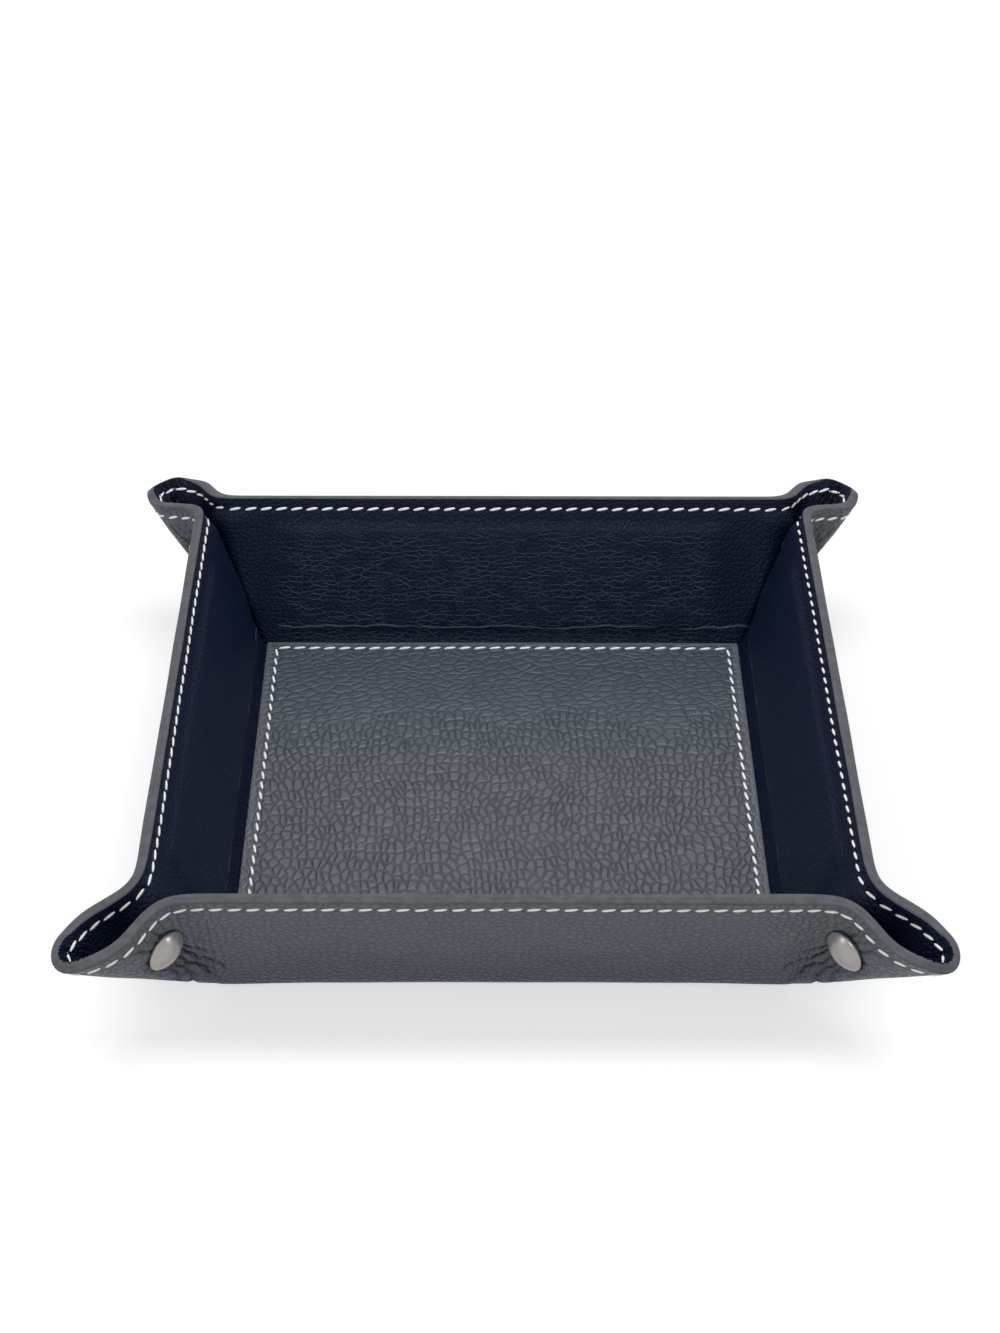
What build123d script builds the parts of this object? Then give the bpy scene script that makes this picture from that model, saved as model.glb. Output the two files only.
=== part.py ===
from build123d import *
import os
from math import acos, asin, atan2, cos, degrees, hypot, pi, radians, sin, tan

# A square leather valet tray: a stiffened base, four stiffened walls that lean
# outwards, and four corners of the same sheet, pinched into looped ears by snaps.
# The origin is the middle of the underside, +Z is up and the front faces -Y.
# When the snaps are opened, the walls and the corners fold out flat together.
os.makedirs("parts", exist_ok=True)

# Driving dimensions, in millimetres and degrees
base_half = 81.65            # middle of the base to the outer fold line of a wall
rim_height = 49.2            # table to the outer edge of the rim
wall_tilt_angle = 21.4       # how far the walls lean out from upright
ply = 1.6                    # thickness of one layer of leather
corner_radius = 16.0         # rounding of the flat sheet's corners

board_thick = 1.0            # stiffening board between the two layers
base_board_margin = 5.5      # fold line to the base's board
wall_board_margin = 4.5      # end of the fold line to the wall's board
wall_board_start = 7.0       # fold line to the board's lower edge
wall_board_inset = 9.5       # rim to the board's upper edge
board_ridge_chamfer = 0.8

panel_margin = 2.05          # fold line to the raised leather panel on the base
panel_thick = 1.5
panel_corner_radius = 0.6
panel_edge_round = 0.5

stitch_pitch = 5.0
stitch_length = 3.7
stitch_width = 0.9
stitch_height = 0.35
panel_stitch_inset = 3.5     # edge of the panel to its stitching
rim_stitch_inset = 4.0       # edge of the rim to its stitching

neck_half_angle = 6.0        # half the width of the ear's neck, seen from the corner
ear_half_angle = 5.0         # half the width of the ear's closed end, seen from the corner
leaf_start = 8.0             # corner of the base to the leaf, along the neck
leaf_inner_start = 24.0      # corner of the base to the leaf, along the tip's bend
tip_start = 36.0             # corner of the base to the tip plate
fold_travel = 62.0           # how far a wall folds out, until the caps reach the table
fold_clearance = 0.25        # between a fold's round edge and the seat around it
ridge_gap = 0.4              # between the two halves of an ear

snap_distance = 37.5         # corner of the base to the snap
snap_angle = 25.0            # wall's corner ray to the snap
cap_radius = 6.25
cap_height = 2.6
cap_edge = 0.9
post_radius = 1.5
post_clearance = 0.1
socket_radius = 5.4
socket_stop = 0.1            # middle of the ear to the socket's rim
stud_radius = 2.0
stud_play = 0.9              # around the stud in the socket, and beyond its end
stud_engagement = 1.0        # middle of the ear to the stud's end in the socket
stud_flange_radius = 5.0
stud_flange = 0.8
back_radius = 5.0            # flat back of the post, on the outer face
back_thick = 1.0

# Sizes worked out from the driving dimensions
sheet = 2 * ply
wall_tilt = radians(wall_tilt_angle)
fold_height = sheet / 2
fold_half = base_half + fold_height * tan(wall_tilt) - fold_height / cos(wall_tilt)
slant = (rim_height - fold_height + fold_height * sin(wall_tilt)) / cos(wall_tilt)
panel_half = fold_half - panel_margin
base_board_half = fold_half - base_board_margin
wall_board_half = fold_half - wall_board_margin
ear_half = radians(ear_half_angle)
tip_bend = pi / 4 - ear_half
reach = 4 * base_half        # longer than anything that it cuts

# The corner, worked out for the rear wall's half of the rear right corner.
# Every fold of the corner passes through the apex, where the base's corner is.
# Angles in the flat sheet are counted there from the end of the wall, so the
# ridge between the ear's two halves is at an eighth of a turn.
apex = Vector(fold_half, fold_half, fold_height)
across = Vector(1, -1, 0).normalized()      # square to the corner's plane of symmetry
outwards = Vector(1, 1, 0).normalized()
upwards = Vector(0, 0, 1)
wall_along = Vector(1, 0, 0)
neck = atan2(sin(wall_tilt), 1) - asin(
    2 ** 0.5 * sin(radians(neck_half_angle)) / hypot(1, sin(wall_tilt))
)


class Corner:
    """Rays and bends of the corner while the rear wall leans out at an angle.

    The tip's bend stays ear_half from the plane of symmetry, at its own angle from
    the neck, so the ear's two halves meet at the ridge.
    """

    def __init__(self, tilt):
        self.wall_up = Vector(0, sin(tilt), cos(tilt))
        self.neck_ray = self.wall_up * cos(neck) + wall_along * sin(neck)
        neck_along = wall_along * cos(neck) - self.wall_up * sin(neck)
        forward = self.neck_ray.dot(outwards)
        rise = self.neck_ray.dot(upwards)
        share = cos(tip_bend - neck) + sin(ear_half) * self.neck_ray.dot(across)
        share /= cos(ear_half) * hypot(forward, rise)
        ridge_rise = atan2(rise, forward) - acos(share)
        self.ridge_ray = outwards * cos(ridge_rise) + upwards * sin(ridge_rise)
        self.tip_ray = self.ridge_ray * cos(ear_half) - across * sin(ear_half)
        across_leaf = self.neck_ray.dot(self.tip_ray)
        self.leaf_along = (self.tip_ray - self.neck_ray * across_leaf).normalized()
        leaf_end_along = self.tip_ray * across_leaf - self.neck_ray
        self.tip_along = (self.ridge_ray - self.tip_ray * cos(ear_half)).normalized()
        self.neck_turn = radians(neck_along.get_angle(self.leaf_along))
        self.tip_turn = radians(leaf_end_along.get_angle(self.tip_along))


closed_corner = Corner(wall_tilt)
open_corner = Corner(wall_tilt + radians(fold_travel))


def flat_to_ray(x, y, angle):
    """Turn a point of the flat sheet so that the ray at an angle becomes the Y axis."""
    return x * cos(angle) - y * sin(angle), x * sin(angle) + y * cos(angle)


def rim_distance(angle):
    """Distance from the apex to the sheet's edge along a ray of its rounded corner."""
    centre = slant - corner_radius
    forward = centre * (sin(angle) + cos(angle))
    return forward + (forward ** 2 - 2 * centre ** 2 + corner_radius ** 2) ** 0.5


def on_ray(distance, angle):
    """Point of the flat sheet at a distance along a ray from the corner ray."""
    return distance * sin(angle), distance * cos(angle)


def fold_plane(origin, along, ray):
    """Middle plane of a leather plate: Y along its ray, Z towards the tray's inside."""
    return Plane(origin=origin, x_dir=along, z_dir=along.cross(ray))


wall_plane = fold_plane(Vector(0, fold_half, fold_height), wall_along, closed_corner.wall_up)
end_plane = fold_plane(apex, wall_along, closed_corner.wall_up)
leaf_plane = fold_plane(apex, closed_corner.leaf_along, closed_corner.neck_ray)
tip_plane = fold_plane(apex, closed_corner.tip_along, closed_corner.tip_ray)


def plate(plane, face, thickness=sheet):
    """Leather plate of a face that is drawn on its middle plane."""
    return plane * extrude(face, thickness / 2, both=True)


def roll(plane, start, end, radius):
    """Round bar along a fold, between two points of a plane."""
    along = Vector(*end, 0) - Vector(*start, 0)
    base = Plane(origin=Vector(*start, 0), z_dir=along)
    bar = base * extrude(Circle(radius), along.length)
    return plane * bar


def half_of_ear(shape):
    """Keep what lies on the rear wall's side of the corner's plane of symmetry."""
    edge = Plane(origin=across * (-ridge_gap / 2), z_dir=across * -1)
    return split(shape, bisect_by=edge, keep=Keep.TOP)


def between_corners(shape):
    """Keep what lies between the planes of symmetry of the rear wall's two corners."""
    return half_of_ear(mirror(half_of_ear(shape), about=Plane.YZ))


def layers(shape, plane):
    """Split a plate at its middle plane into the outer layer and the lining."""
    outer = split(shape, bisect_by=plane, keep=Keep.BOTTOM)
    lining = split(shape, bisect_by=plane, keep=Keep.TOP)
    return outer, lining


def fold_start(turn):
    """Distance from a fold at which a plate clears the one that it is folded from."""
    return ply * tan(turn / 2) + fold_clearance


def stitches(places):
    """Short round-ended threads, one at each place."""
    thread = extrude(SlotOverall(stitch_length, stitch_width), stitch_height)
    return Compound([(place * thread).solid() for place in places])


def stitch_row(half_length):
    """Middles of the stitches along a straight seam that is centred on zero."""
    count = round(2 * half_length / stitch_pitch)
    return [stitch_pitch * (i - (count - 1) / 2) for i in range(count)]


def base_nodes():
    """The base: outer leather, board, lining, raised panel and its stitching."""
    corner_turns = [Rot(0, 0, turn) for turn in (0, 90, 180, 270)]
    body = Pos(0, 0, fold_height) * Box(2 * fold_half, 2 * fold_half, sheet)
    side_plane = Plane(origin=(0, fold_half, fold_height))
    side_roll = roll(side_plane, (-fold_half, 0), (fold_half, 0), ply)
    for turn in corner_turns:
        body += turn * side_roll
    outer, lining = layers(body, Plane.XY.offset(fold_height))
    board_size = 2 * base_board_half
    board_floor = (Align.CENTER, Align.CENTER, Align.MIN)
    board = Pos(0, 0, ply) * Box(board_size, board_size, board_thick, align=board_floor)
    raised_size = board_size + sheet
    raised = Pos(0, 0, ply) * Box(raised_size, raised_size, board_thick + ply, align=board_floor)
    raised = chamfer(raised.faces().sort_by(Axis.Z)[-1].edges(), board_ridge_chamfer)
    lining = lining + raised - board

    panel_bottom = sheet + board_thick
    panel_face = RectangleRounded(2 * panel_half, 2 * panel_half, panel_corner_radius)
    panel = Pos(0, 0, panel_bottom) * extrude(panel_face, panel_thick)
    panel = fillet(panel.faces().sort_by(Axis.Z)[-1].edges(), panel_edge_round)

    seam = panel_half - panel_stitch_inset
    top = panel_bottom + panel_thick
    row = [Pos(along, seam, top) for along in stitch_row(seam)]
    places = [turn * place for turn in corner_turns for place in row]
    return {
        "base_outer_leather": outer,
        "base_board": board,
        "base_lining": lining,
        "base_panel": panel,
        "base_panel_stitching": stitches(places),
    }


def wall_nodes():
    """The rear wall: outer leather, board, lining and the stitching along its rim."""
    start = fold_start(pi / 2 - wall_tilt)
    spread = tan(neck)
    outline = make_face(Polyline(
        (-fold_half - start * spread, start),
        (fold_half + start * spread, start),
        (fold_half + slant * spread, slant),
        (-fold_half - slant * spread, slant),
        close=True,
    ))
    body = plate(wall_plane, outline)
    body -= roll(wall_plane, (-reach, 0), (reach, 0), ply + fold_clearance)
    neck_roll = roll(end_plane, on_ray(leaf_start, neck), on_ray(slant / cos(neck), neck), ply)
    body += neck_roll + mirror(neck_roll, about=Plane.YZ)
    over_rim = (Align.CENTER, Align.MIN, Align.CENTER)
    rim_cut = wall_plane * Pos(0, slant, 0) * Box(reach, reach, reach, align=over_rim)
    body = between_corners(body - rim_cut)
    outer, lining = layers(body, wall_plane)

    board_end = slant - wall_board_inset
    board_middle = (wall_board_start + board_end) / 2
    board_height = board_end - wall_board_start
    on_sheet = (Align.CENTER, Align.CENTER, Align.MIN)
    board = Pos(0, board_middle, 0) * Box(2 * wall_board_half, board_height, board_thick, align=on_sheet)
    raised = Pos(0, board_middle, 0) * Box(
        2 * wall_board_half + sheet, board_height + sheet, board_thick + ply, align=on_sheet
    )
    raised = chamfer(raised.faces().sort_by(Axis.Z)[-1].edges(), board_ridge_chamfer)
    board = wall_plane * board
    lining = lining + wall_plane * raised - board

    seam = slant - rim_stitch_inset
    half_length = fold_half + seam * spread - stitch_pitch
    row = stitch_row(half_length)
    inner = [wall_plane * Pos(along, seam, ply) for along in row]
    outer_side = [wall_plane * Pos(along, seam, -ply - stitch_height) for along in row]
    return {
        "outer_leather": outer,
        "board": board,
        "lining": lining,
        "rim_stitching": stitches(inner + outer_side),
    }


def snap_place():
    """Middle of the snap on the leaf's middle plane."""
    angle = radians(snap_angle) - neck
    return leaf_plane * Pos(*on_ray(snap_distance, angle), 0)


def snap_half_gap():
    """Inner face of the leaf to the plane of symmetry, at the snap and square to it."""
    middle = snap_place().position
    return -middle.dot(across) - ply


def leaf_node():
    """Half of an ear, from the neck to the bend at its closed end, in two layers."""
    start = fold_start(closed_corner.neck_turn)
    tangent = slant - corner_radius
    rim_start = (start + slant * sin(neck)) / cos(neck)
    middle_angle = (atan2(tangent, slant) + tip_bend) / 2
    tip_end = rim_distance(tip_bend)
    inner_end = on_ray(leaf_inner_start, tip_bend - neck)
    outer_end = on_ray(tip_end, tip_bend - neck)
    edge = [
        Line((start, leaf_start), flat_to_ray(rim_start, slant, neck)),
        Line(flat_to_ray(rim_start, slant, neck), flat_to_ray(tangent, slant, neck)),
        ThreePointArc(
            flat_to_ray(tangent, slant, neck),
            on_ray(rim_distance(middle_angle), middle_angle - neck),
            outer_end,
        ),
        Line(outer_end, inner_end),
        Line(inner_end, (start, leaf_start)),
    ]
    body = plate(leaf_plane, make_face(edge))
    body += roll(leaf_plane, inner_end, outer_end, ply)
    body -= roll(leaf_plane, (0, 0), (0, reach), ply + fold_clearance)
    hole = extrude(Circle(post_radius + post_clearance), sheet, both=True)
    body = half_of_ear(body - snap_place() * hole)
    outer, lining = layers(body, leaf_plane)
    return Compound(outer.solids() + lining.solids())


def tip_node():
    """Half of an ear's closed end, from its bend to the ridge between the halves."""
    start = fold_start(closed_corner.tip_turn)
    middle_angle = (tip_bend + pi / 4) / 2
    bend_end = rim_distance(tip_bend)
    middle = on_ray(rim_distance(middle_angle), middle_angle - tip_bend)
    ridge_end = on_ray(rim_distance(pi / 4), ear_half)
    ridge_start = (tip_start * tan(ear_half), tip_start)
    edge = [
        Line((0, tip_start), (0, bend_end)),
        ThreePointArc((0, bend_end), middle, ridge_end),
        Line(ridge_end, ridge_start),
        Line(ridge_start, (0, tip_start)),
    ]
    body = plate(tip_plane, make_face(edge))
    strip = Box(2 * start, reach, reach)
    body -= tip_plane * strip
    body -= roll(tip_plane, (0, 0), (0, reach), ply + fold_clearance)
    body = half_of_ear(body)
    outer, lining = layers(body, tip_plane)
    return Compound(outer.solids() + lining.solids())


def snap_cap_node():
    """Domed cap on the outer face, with the post that goes through the leather."""
    rise = cap_height - cap_edge
    dome_radius = (cap_radius ** 2 + rise ** 2) / (2 * rise)
    profile = make_face([
        Line((0, 0), (cap_radius, 0)),
        Line((cap_radius, 0), (cap_radius, cap_edge)),
        RadiusArc((cap_radius, cap_edge), (0, cap_height), -dome_radius),
        Line((0, cap_height), (0, 0)),
    ])
    dome = revolve(Plane.XZ * profile, Axis.Z)
    post = extrude(Circle(post_radius), -sheet)
    outwards_face = Pos(0, 0, -ply) * Rot(180, 0, 0)
    return snap_place() * outwards_face * (dome + post)


def snap_socket_node():
    """Round socket on the inner face, with the recess that the stud clicks into."""
    height = snap_half_gap() - socket_stop
    floor = snap_half_gap() - stud_engagement - stud_play / 2
    body = extrude(Circle(socket_radius), height)
    recess = extrude(Circle(stud_radius + stud_play), height)
    return snap_place() * Pos(0, 0, ply) * (body - Pos(0, 0, floor) * recess)


def snap_stud_node():
    """Flange and stud on the inner face of the ear's other half."""
    flange = extrude(Circle(stud_flange_radius), stud_flange)
    stud = extrude(Circle(stud_radius), snap_half_gap() + stud_engagement)
    return snap_place() * Pos(0, 0, ply) * (flange + stud)


def snap_post_node():
    """Flat back of the stud, with the post that goes through the leather."""
    back = extrude(Circle(back_radius), -back_thick)
    post = extrude(Circle(post_radius), sheet)
    return snap_place() * Pos(0, 0, -ply) * (back + post)


def corner_nodes():
    """All pieces of one ear: the cap's half as drawn, the stud's half mirrored."""
    leaf, tip = leaf_node(), tip_node()
    other_half = Plane(origin=(0, 0, 0), z_dir=across)
    return {
        "cap_leaf": leaf,
        "cap_tip": tip,
        "snap_cap": snap_cap_node(),
        "snap_socket": snap_socket_node(),
        "stud_leaf": mirror(leaf, about=other_half),
        "stud_tip": mirror(tip, about=other_half),
        "snap_stud": mirror(snap_stud_node(), about=other_half),
        "snap_post": mirror(snap_post_node(), about=other_half),
    }


def reflected(shape, sides):
    """Mirror a shape of the rear right corner to another corner."""
    for side in sides:
        shape = mirror(shape, about=side)
    return shape


corners = {
    "rear_right": [],
    "rear_left": [Plane.YZ],
    "front_right": [Plane.XZ],
    "front_left": [Plane.YZ, Plane.XZ],
}
walls = {"rear": 0, "left": 90, "front": 180, "right": 270}

nodes = base_nodes()
for piece, shape in wall_nodes().items():
    for wall, turn in walls.items():
        nodes[f"{wall}_wall_{piece}"] = Rot(0, 0, turn) * shape
for piece, shape in corner_nodes().items():
    for corner, sides in corners.items():
        nodes[f"{corner}_{piece}"] = reflected(shape, sides)
for name, shape in nodes.items():
    export_step(shape, f"parts/{name}.step")

for name, corner in (("closed", closed_corner), ("open", open_corner)):
    print(name, "neck turn", degrees(corner.neck_turn), "tip turn", degrees(corner.tip_turn))
print("fold half", fold_half, "fold height", fold_height, "slant", slant, "travel", fold_travel)
print("neck ray", *closed_corner.neck_ray, "tip ray", *closed_corner.tip_ray)
print("snap half gap", snap_half_gap(), "neck", degrees(neck), "nodes", len(nodes))
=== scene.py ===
"""Looks of a square leather valet tray with four snapped corners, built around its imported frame."""

import logging
import math
from collections.abc import Callable
from dataclasses import dataclass, replace
from enum import Enum

import bmesh
import bpy
import numpy as np
from mathutils import Matrix, Vector

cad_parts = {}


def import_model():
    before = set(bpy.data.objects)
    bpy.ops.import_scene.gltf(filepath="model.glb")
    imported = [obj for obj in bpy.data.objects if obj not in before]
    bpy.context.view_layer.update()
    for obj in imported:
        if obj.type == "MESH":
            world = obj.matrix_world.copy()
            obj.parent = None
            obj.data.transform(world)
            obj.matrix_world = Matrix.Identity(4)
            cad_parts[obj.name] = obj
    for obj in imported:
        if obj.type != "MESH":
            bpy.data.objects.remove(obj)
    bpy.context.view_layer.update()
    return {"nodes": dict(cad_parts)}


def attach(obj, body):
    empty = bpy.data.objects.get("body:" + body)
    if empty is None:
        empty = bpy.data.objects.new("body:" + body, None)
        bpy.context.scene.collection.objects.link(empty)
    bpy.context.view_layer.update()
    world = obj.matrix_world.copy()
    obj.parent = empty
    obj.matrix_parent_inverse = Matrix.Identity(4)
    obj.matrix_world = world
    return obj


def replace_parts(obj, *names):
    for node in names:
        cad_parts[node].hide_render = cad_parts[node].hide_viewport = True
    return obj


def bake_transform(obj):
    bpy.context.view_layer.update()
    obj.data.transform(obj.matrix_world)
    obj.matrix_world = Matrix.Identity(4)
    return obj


logging.basicConfig(level=logging.INFO, format="%(message)s")
log = logging.getLogger("valet_tray")

MM = 0.001
FLAT_UV = "flat_leather"
WALL_UV = "along_wall"
PRESS = "pressed_in"
PROBE = 0.25 * MM

Socket = bpy.types.NodeSocket


class Layer(Enum):
    """The two layers of leather that are sewn back to back."""

    OUTER = -1
    LINING = 1


class Half(Enum):
    """The two halves of an ear, named for the part of the snap that each carries."""

    CAP = "cap"
    STUD = "stud"


class Wall(Enum):
    """The four walls, with the quarter turns from the rear one, seen from above."""

    REAR = 0
    RIGHT = 1
    FRONT = 2
    LEFT = 3

    @property
    def label(self) -> str:
        """Name of the wall's body in the frame."""
        return f"{self.name.lower()}_wall"


class Corner(Enum):
    """The four corners, with the signs of their X and Y."""

    REAR_RIGHT = (1, 1)
    REAR_LEFT = (-1, 1)
    FRONT_RIGHT = (1, -1)
    FRONT_LEFT = (-1, -1)

    @property
    def label(self) -> str:
        """Name that starts each of the corner's pieces."""
        return self.name.lower()


def srgb(code: str) -> tuple[float, float, float, float]:
    """Turn a hexadecimal screen colour into linear light.

    Args:
        code: Six hexadecimal digits.

    Returns:
        Linear red, green and blue, and an alpha of one.
    """
    parts = [int(code[i : i + 2], 16) / 255 for i in (0, 2, 4)]
    linear = [c / 12.92 if c <= 0.04045 else ((c + 0.055) / 1.055) ** 2.4 for c in parts]
    return (linear[0], linear[1], linear[2], 1.0)


def smooth(value: np.ndarray) -> np.ndarray:
    """Ease from 0 to 1 over the unit range."""
    t = np.clip(value, 0, 1)
    return t * t * (3 - 2 * t)


def eased(value: np.ndarray, start: float, length: float) -> np.ndarray:
    """Ease from 0 to 1 over a length that begins at a start."""
    return smooth((value - start) / length)


def bell(offset: np.ndarray, width: float) -> np.ndarray:
    """Fall off from 1 in the middle to both sides."""
    return np.exp(-((offset / width) ** 2))


def ripple(
    x: np.ndarray, y: np.ndarray, waves: tuple[tuple[float, float, float], ...]
) -> np.ndarray:
    """Add up slow waves, each with its density along X and Y and its phase."""
    return sum(np.sin(a * x + b * y + c) for a, b, c in waves)


def read_at(share: np.ndarray, values: np.ndarray) -> np.ndarray:
    """Read evenly numbered values at shares from 0 to 1."""
    return np.interp(share, np.linspace(0, 1, len(values)), values)


def unit(vector: np.ndarray) -> np.ndarray:
    """Scale a vector to a length of one."""
    return vector / np.linalg.norm(vector)


def flat_turn(wall: Wall) -> np.ndarray:
    """Turn of the flat sheet that takes the rear wall to another wall.

    Args:
        wall: The wall.

    Returns:
        The turn as a matrix.
    """
    turn = -wall.value * math.pi / 2
    c, s = round(math.cos(turn)), round(math.sin(turn))
    return np.array([[c, -s], [s, c]], float)


def flat_corner(corner: Corner, half: Half) -> np.ndarray:
    """Mirroring of the flat sheet that takes the rear right cap half to another half.

    Args:
        corner: The ear's corner.
        half: Which half of the ear.

    Returns:
        The mirroring as a matrix.
    """
    signs = np.diag([float(s) for s in corner.value])
    swap = np.array([[0.0, 1.0], [1.0, 0.0]]) if half is Half.STUD else np.eye(2)
    return signs @ swap


def space(flat: np.ndarray) -> np.ndarray:
    """Extend a turn of the flat sheet to a turn in space about the Z axis.

    Args:
        flat: The turn of the flat sheet.

    Returns:
        The turn in space as a matrix.
    """
    turn = np.eye(3)
    turn[:2, :2] = flat
    return turn


@dataclass
class FoldedSheet:
    """The tray's sheet: where a point of the flat leather lies once the ears are pinched.

    Flat points are in metres from the middle of the base. The corners fold as cones
    about the base's corners, and every fold is rounded. Pairs of sizes that go to eased
    are a start and a length.
    """

    base_half: float = 81.65 * MM
    rim_height: float = 49.2 * MM
    tilt: float = math.radians(21.4)
    ply: float = 1.6 * MM
    corner_radius: float = 14.6 * MM
    neck_half: float = math.radians(6.0)
    ear_half: float = math.radians(5.0)
    neck_round: float = math.radians(10.5)
    wall_fold_round: float = 5.2 * MM
    corner_fold_round: float = 2.4 * MM
    fold_round_change: float = 30.0 * MM
    board: float = 1.0 * MM
    board_edge: float = 0.8 * MM
    board_ease: float = 2.6 * MM
    board_end_ease: float = 9.0 * MM
    base_board_margin: float = 5.5 * MM
    wall_board_margin: float = 4.5 * MM
    wall_board_start: float = 7.0 * MM
    wall_board_inset: float = 9.5 * MM
    stitch_inset: float = 4.0 * MM
    seam_width: float = 0.85 * MM
    seam_depth: float = 0.2 * MM
    waves: tuple[tuple[float, float, float], ...] = (
        (71, 23, 0.4), (-38, 92, 1.9), (131, -57, 3.1), (47, 149, 5.2),
    )
    wave_height: float = 0.045 * MM
    crease_border: float = 6.6 * MM
    crease_ease: float = 4.0 * MM
    # A wrinkle's lean from the snap's ray in degrees, and its length and depth in millimetres.
    wrinkles: tuple[tuple[float, float, float], ...] = (
        (-20, 29, 0.8), (-8, 37, 0.9), (3, 34, 0.85), (14, 36, 0.95), (27, 28, 0.75),
        (44, 22, 0.6), (68, 15, 0.4), (-48, 15, 0.4), (198, 19, 0.7), (181, 16, 0.5),
        (163, 17, 0.6), (222, 14, 0.4),
    )
    wrinkle_width: float = 0.45 * MM
    wrinkle_start: tuple[float, float] = (5.0 * MM, 2.0 * MM)
    wrinkle_end: float = 9.0 * MM
    # How far a wrinkle wanders to both sides, and the length that sets how often.
    wrinkle_sway: tuple[float, float] = (0.6 * MM, 2.6 * MM)
    wrinkle_tremble: tuple[float, float] = (0.3 * MM, 0.95 * MM)
    corner_calm: tuple[float, float] = (6.0 * MM, 7.0 * MM)
    seat_radius: float = 8.1 * MM
    seat_ease: float = 1.5 * MM
    seat_depth: float = 0.65 * MM
    comb_turn: tuple[float, float] = (math.radians(33), math.radians(8))
    comb_reach: tuple[float, float] = (18.0 * MM, 14.0 * MM)
    comb_pitch: float = math.radians(1.35)
    comb_sway_pitch: float = math.radians(3.1)
    comb_depth: float = 0.55 * MM
    roll_turn: float = 15.5
    roll_width: float = 8.0
    roll_depth: float = 2.3 * MM
    roll_foot: tuple[float, float] = (10.0 * MM, 10.0 * MM)
    roll_top: float = 50.0 * MM
    roll_top_ease: float = 6.0 * MM
    roll_border: float = 8.0 * MM
    ear_start: float = 40.0 * MM
    half_gap: float = 0.1 * MM
    half_gap_ease: float = 0.35 * MM
    snap_distance: float = 37.5 * MM
    snap_angle: float = math.radians(25.0)
    flare_start: float = 34.0 * MM
    flare_ease: float = 16.0 * MM
    rear_flare: float = 0.95
    front_flare: float = 0.55
    rear_curl: float = 2.4 * MM
    curl_turn: tuple[float, float] = (math.radians(29), math.radians(16))
    curl_reach: tuple[float, float] = (45.0 * MM, 22.0 * MM)
    curl_lift: float = 0.6
    # A bend's place round the loop, half its width and how far it turns, all in degrees.
    flare_bends: tuple[tuple[float, float, float], ...] = (
        (13.8, 9.06, 68.7), (30.5, 5.87, -53.33), (45.0, 7.0, -106.8),
    )

    def __post_init__(self) -> None:
        """Work out the folds of a corner and the table of rays across it."""
        t = self.tilt
        self.fold_height = self.ply
        self.fold_half = self.base_half + self.ply * math.tan(t) - self.ply / math.cos(t)
        rise = self.rim_height - self.ply + self.ply * math.sin(t)
        self.slant = rise / math.cos(t)
        self.apex = np.array([self.fold_half, self.fold_half, self.fold_height])
        self.across = unit(np.array([1.0, -1.0, 0.0]))
        self.outwards = unit(np.array([1.0, 1.0, 0.0]))
        self.up = np.array([0.0, math.sin(t), math.cos(t)])
        self.along = np.array([1.0, 0.0, 0.0])
        lean = math.sin(t)
        self.neck = math.atan2(lean, 1) - math.asin(
            math.sqrt(2) * math.sin(self.neck_half) / math.hypot(1, lean)
        )
        self.tip = math.pi / 4 - self.ear_half
        self.neck_ray = self.up * math.cos(self.neck) + self.along * math.sin(self.neck)
        self.neck_along = self.along * math.cos(self.neck) - self.up * math.sin(self.neck)
        forward = float(self.neck_ray @ self.outwards)
        lift = float(self.neck_ray[2])
        share = math.cos(self.tip - self.neck)
        share += math.sin(self.ear_half) * float(self.neck_ray @ self.across)
        share /= math.cos(self.ear_half) * math.hypot(forward, lift)
        ridge_rise = math.atan2(lift, forward) - math.acos(share)
        self.ridge_ray = self.outwards * math.cos(ridge_rise)
        self.ridge_ray = self.ridge_ray + np.array([0, 0, math.sin(ridge_rise)])
        self.tip_ray = self.ridge_ray * math.cos(self.ear_half)
        self.tip_ray = self.tip_ray - self.across * math.sin(self.ear_half)
        shared = float(self.neck_ray @ self.tip_ray)
        self.leaf_along = unit(self.tip_ray - self.neck_ray * shared)
        self.leaf_end_along = unit(self.tip_ray * shared - self.neck_ray)
        self.tip_along = unit(self.ridge_ray - self.tip_ray * math.cos(self.ear_half))
        self.table_angles = np.linspace(0, math.pi / 4, 361)
        self.pinched = np.array([self._ray(a) for a in self.table_angles])
        self.flared = self._flared_rays()
        rings = [(math.sqrt((i + 0.5) / 4), i) for i in range(4)]
        self.kernel = np.array(
            [
                (r * math.cos(a), r * math.sin(a))
                for r, i in rings
                for a in (2 * math.pi * (k + 0.5 * (i % 2)) / 12 for k in range(12))
            ]
        )

    def _fillet(
        self, ray: np.ndarray, before: np.ndarray, after: np.ndarray, reach: float, share: float
    ) -> np.ndarray:
        """Point on a rounded bend between two folded faces, on the unit sphere.

        Args:
            ray: The fold's own ray.
            before: Direction from the fold into the face before it.
            after: Direction from the fold into the face after it.
            reach: Angle from the fold to where the rounding starts.
            share: How far along the rounding, from 0 to 1.

        Returns:
            The ray at that point.
        """
        opening = math.acos(float(before @ after))
        radius = math.atan(math.sin(reach) * math.tan(opening / 2))
        depth = math.acos(math.cos(reach) * math.cos(radius))
        middle = unit(before + after)
        centre = ray * math.cos(depth) + middle * math.sin(depth)
        sweep = 2 * math.atan2(math.tan(reach), math.sin(radius))
        start = ray * math.cos(reach) + before * math.sin(reach)
        end = ray * math.cos(reach) + after * math.sin(reach)
        side = np.cross(centre, start)
        sign = 1.0 if float(side @ end) > 0 else -1.0
        turn = sign * sweep * share
        axial = centre * float(centre @ start)
        return axial + (start - axial) * math.cos(turn) + side * math.sin(turn)

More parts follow.
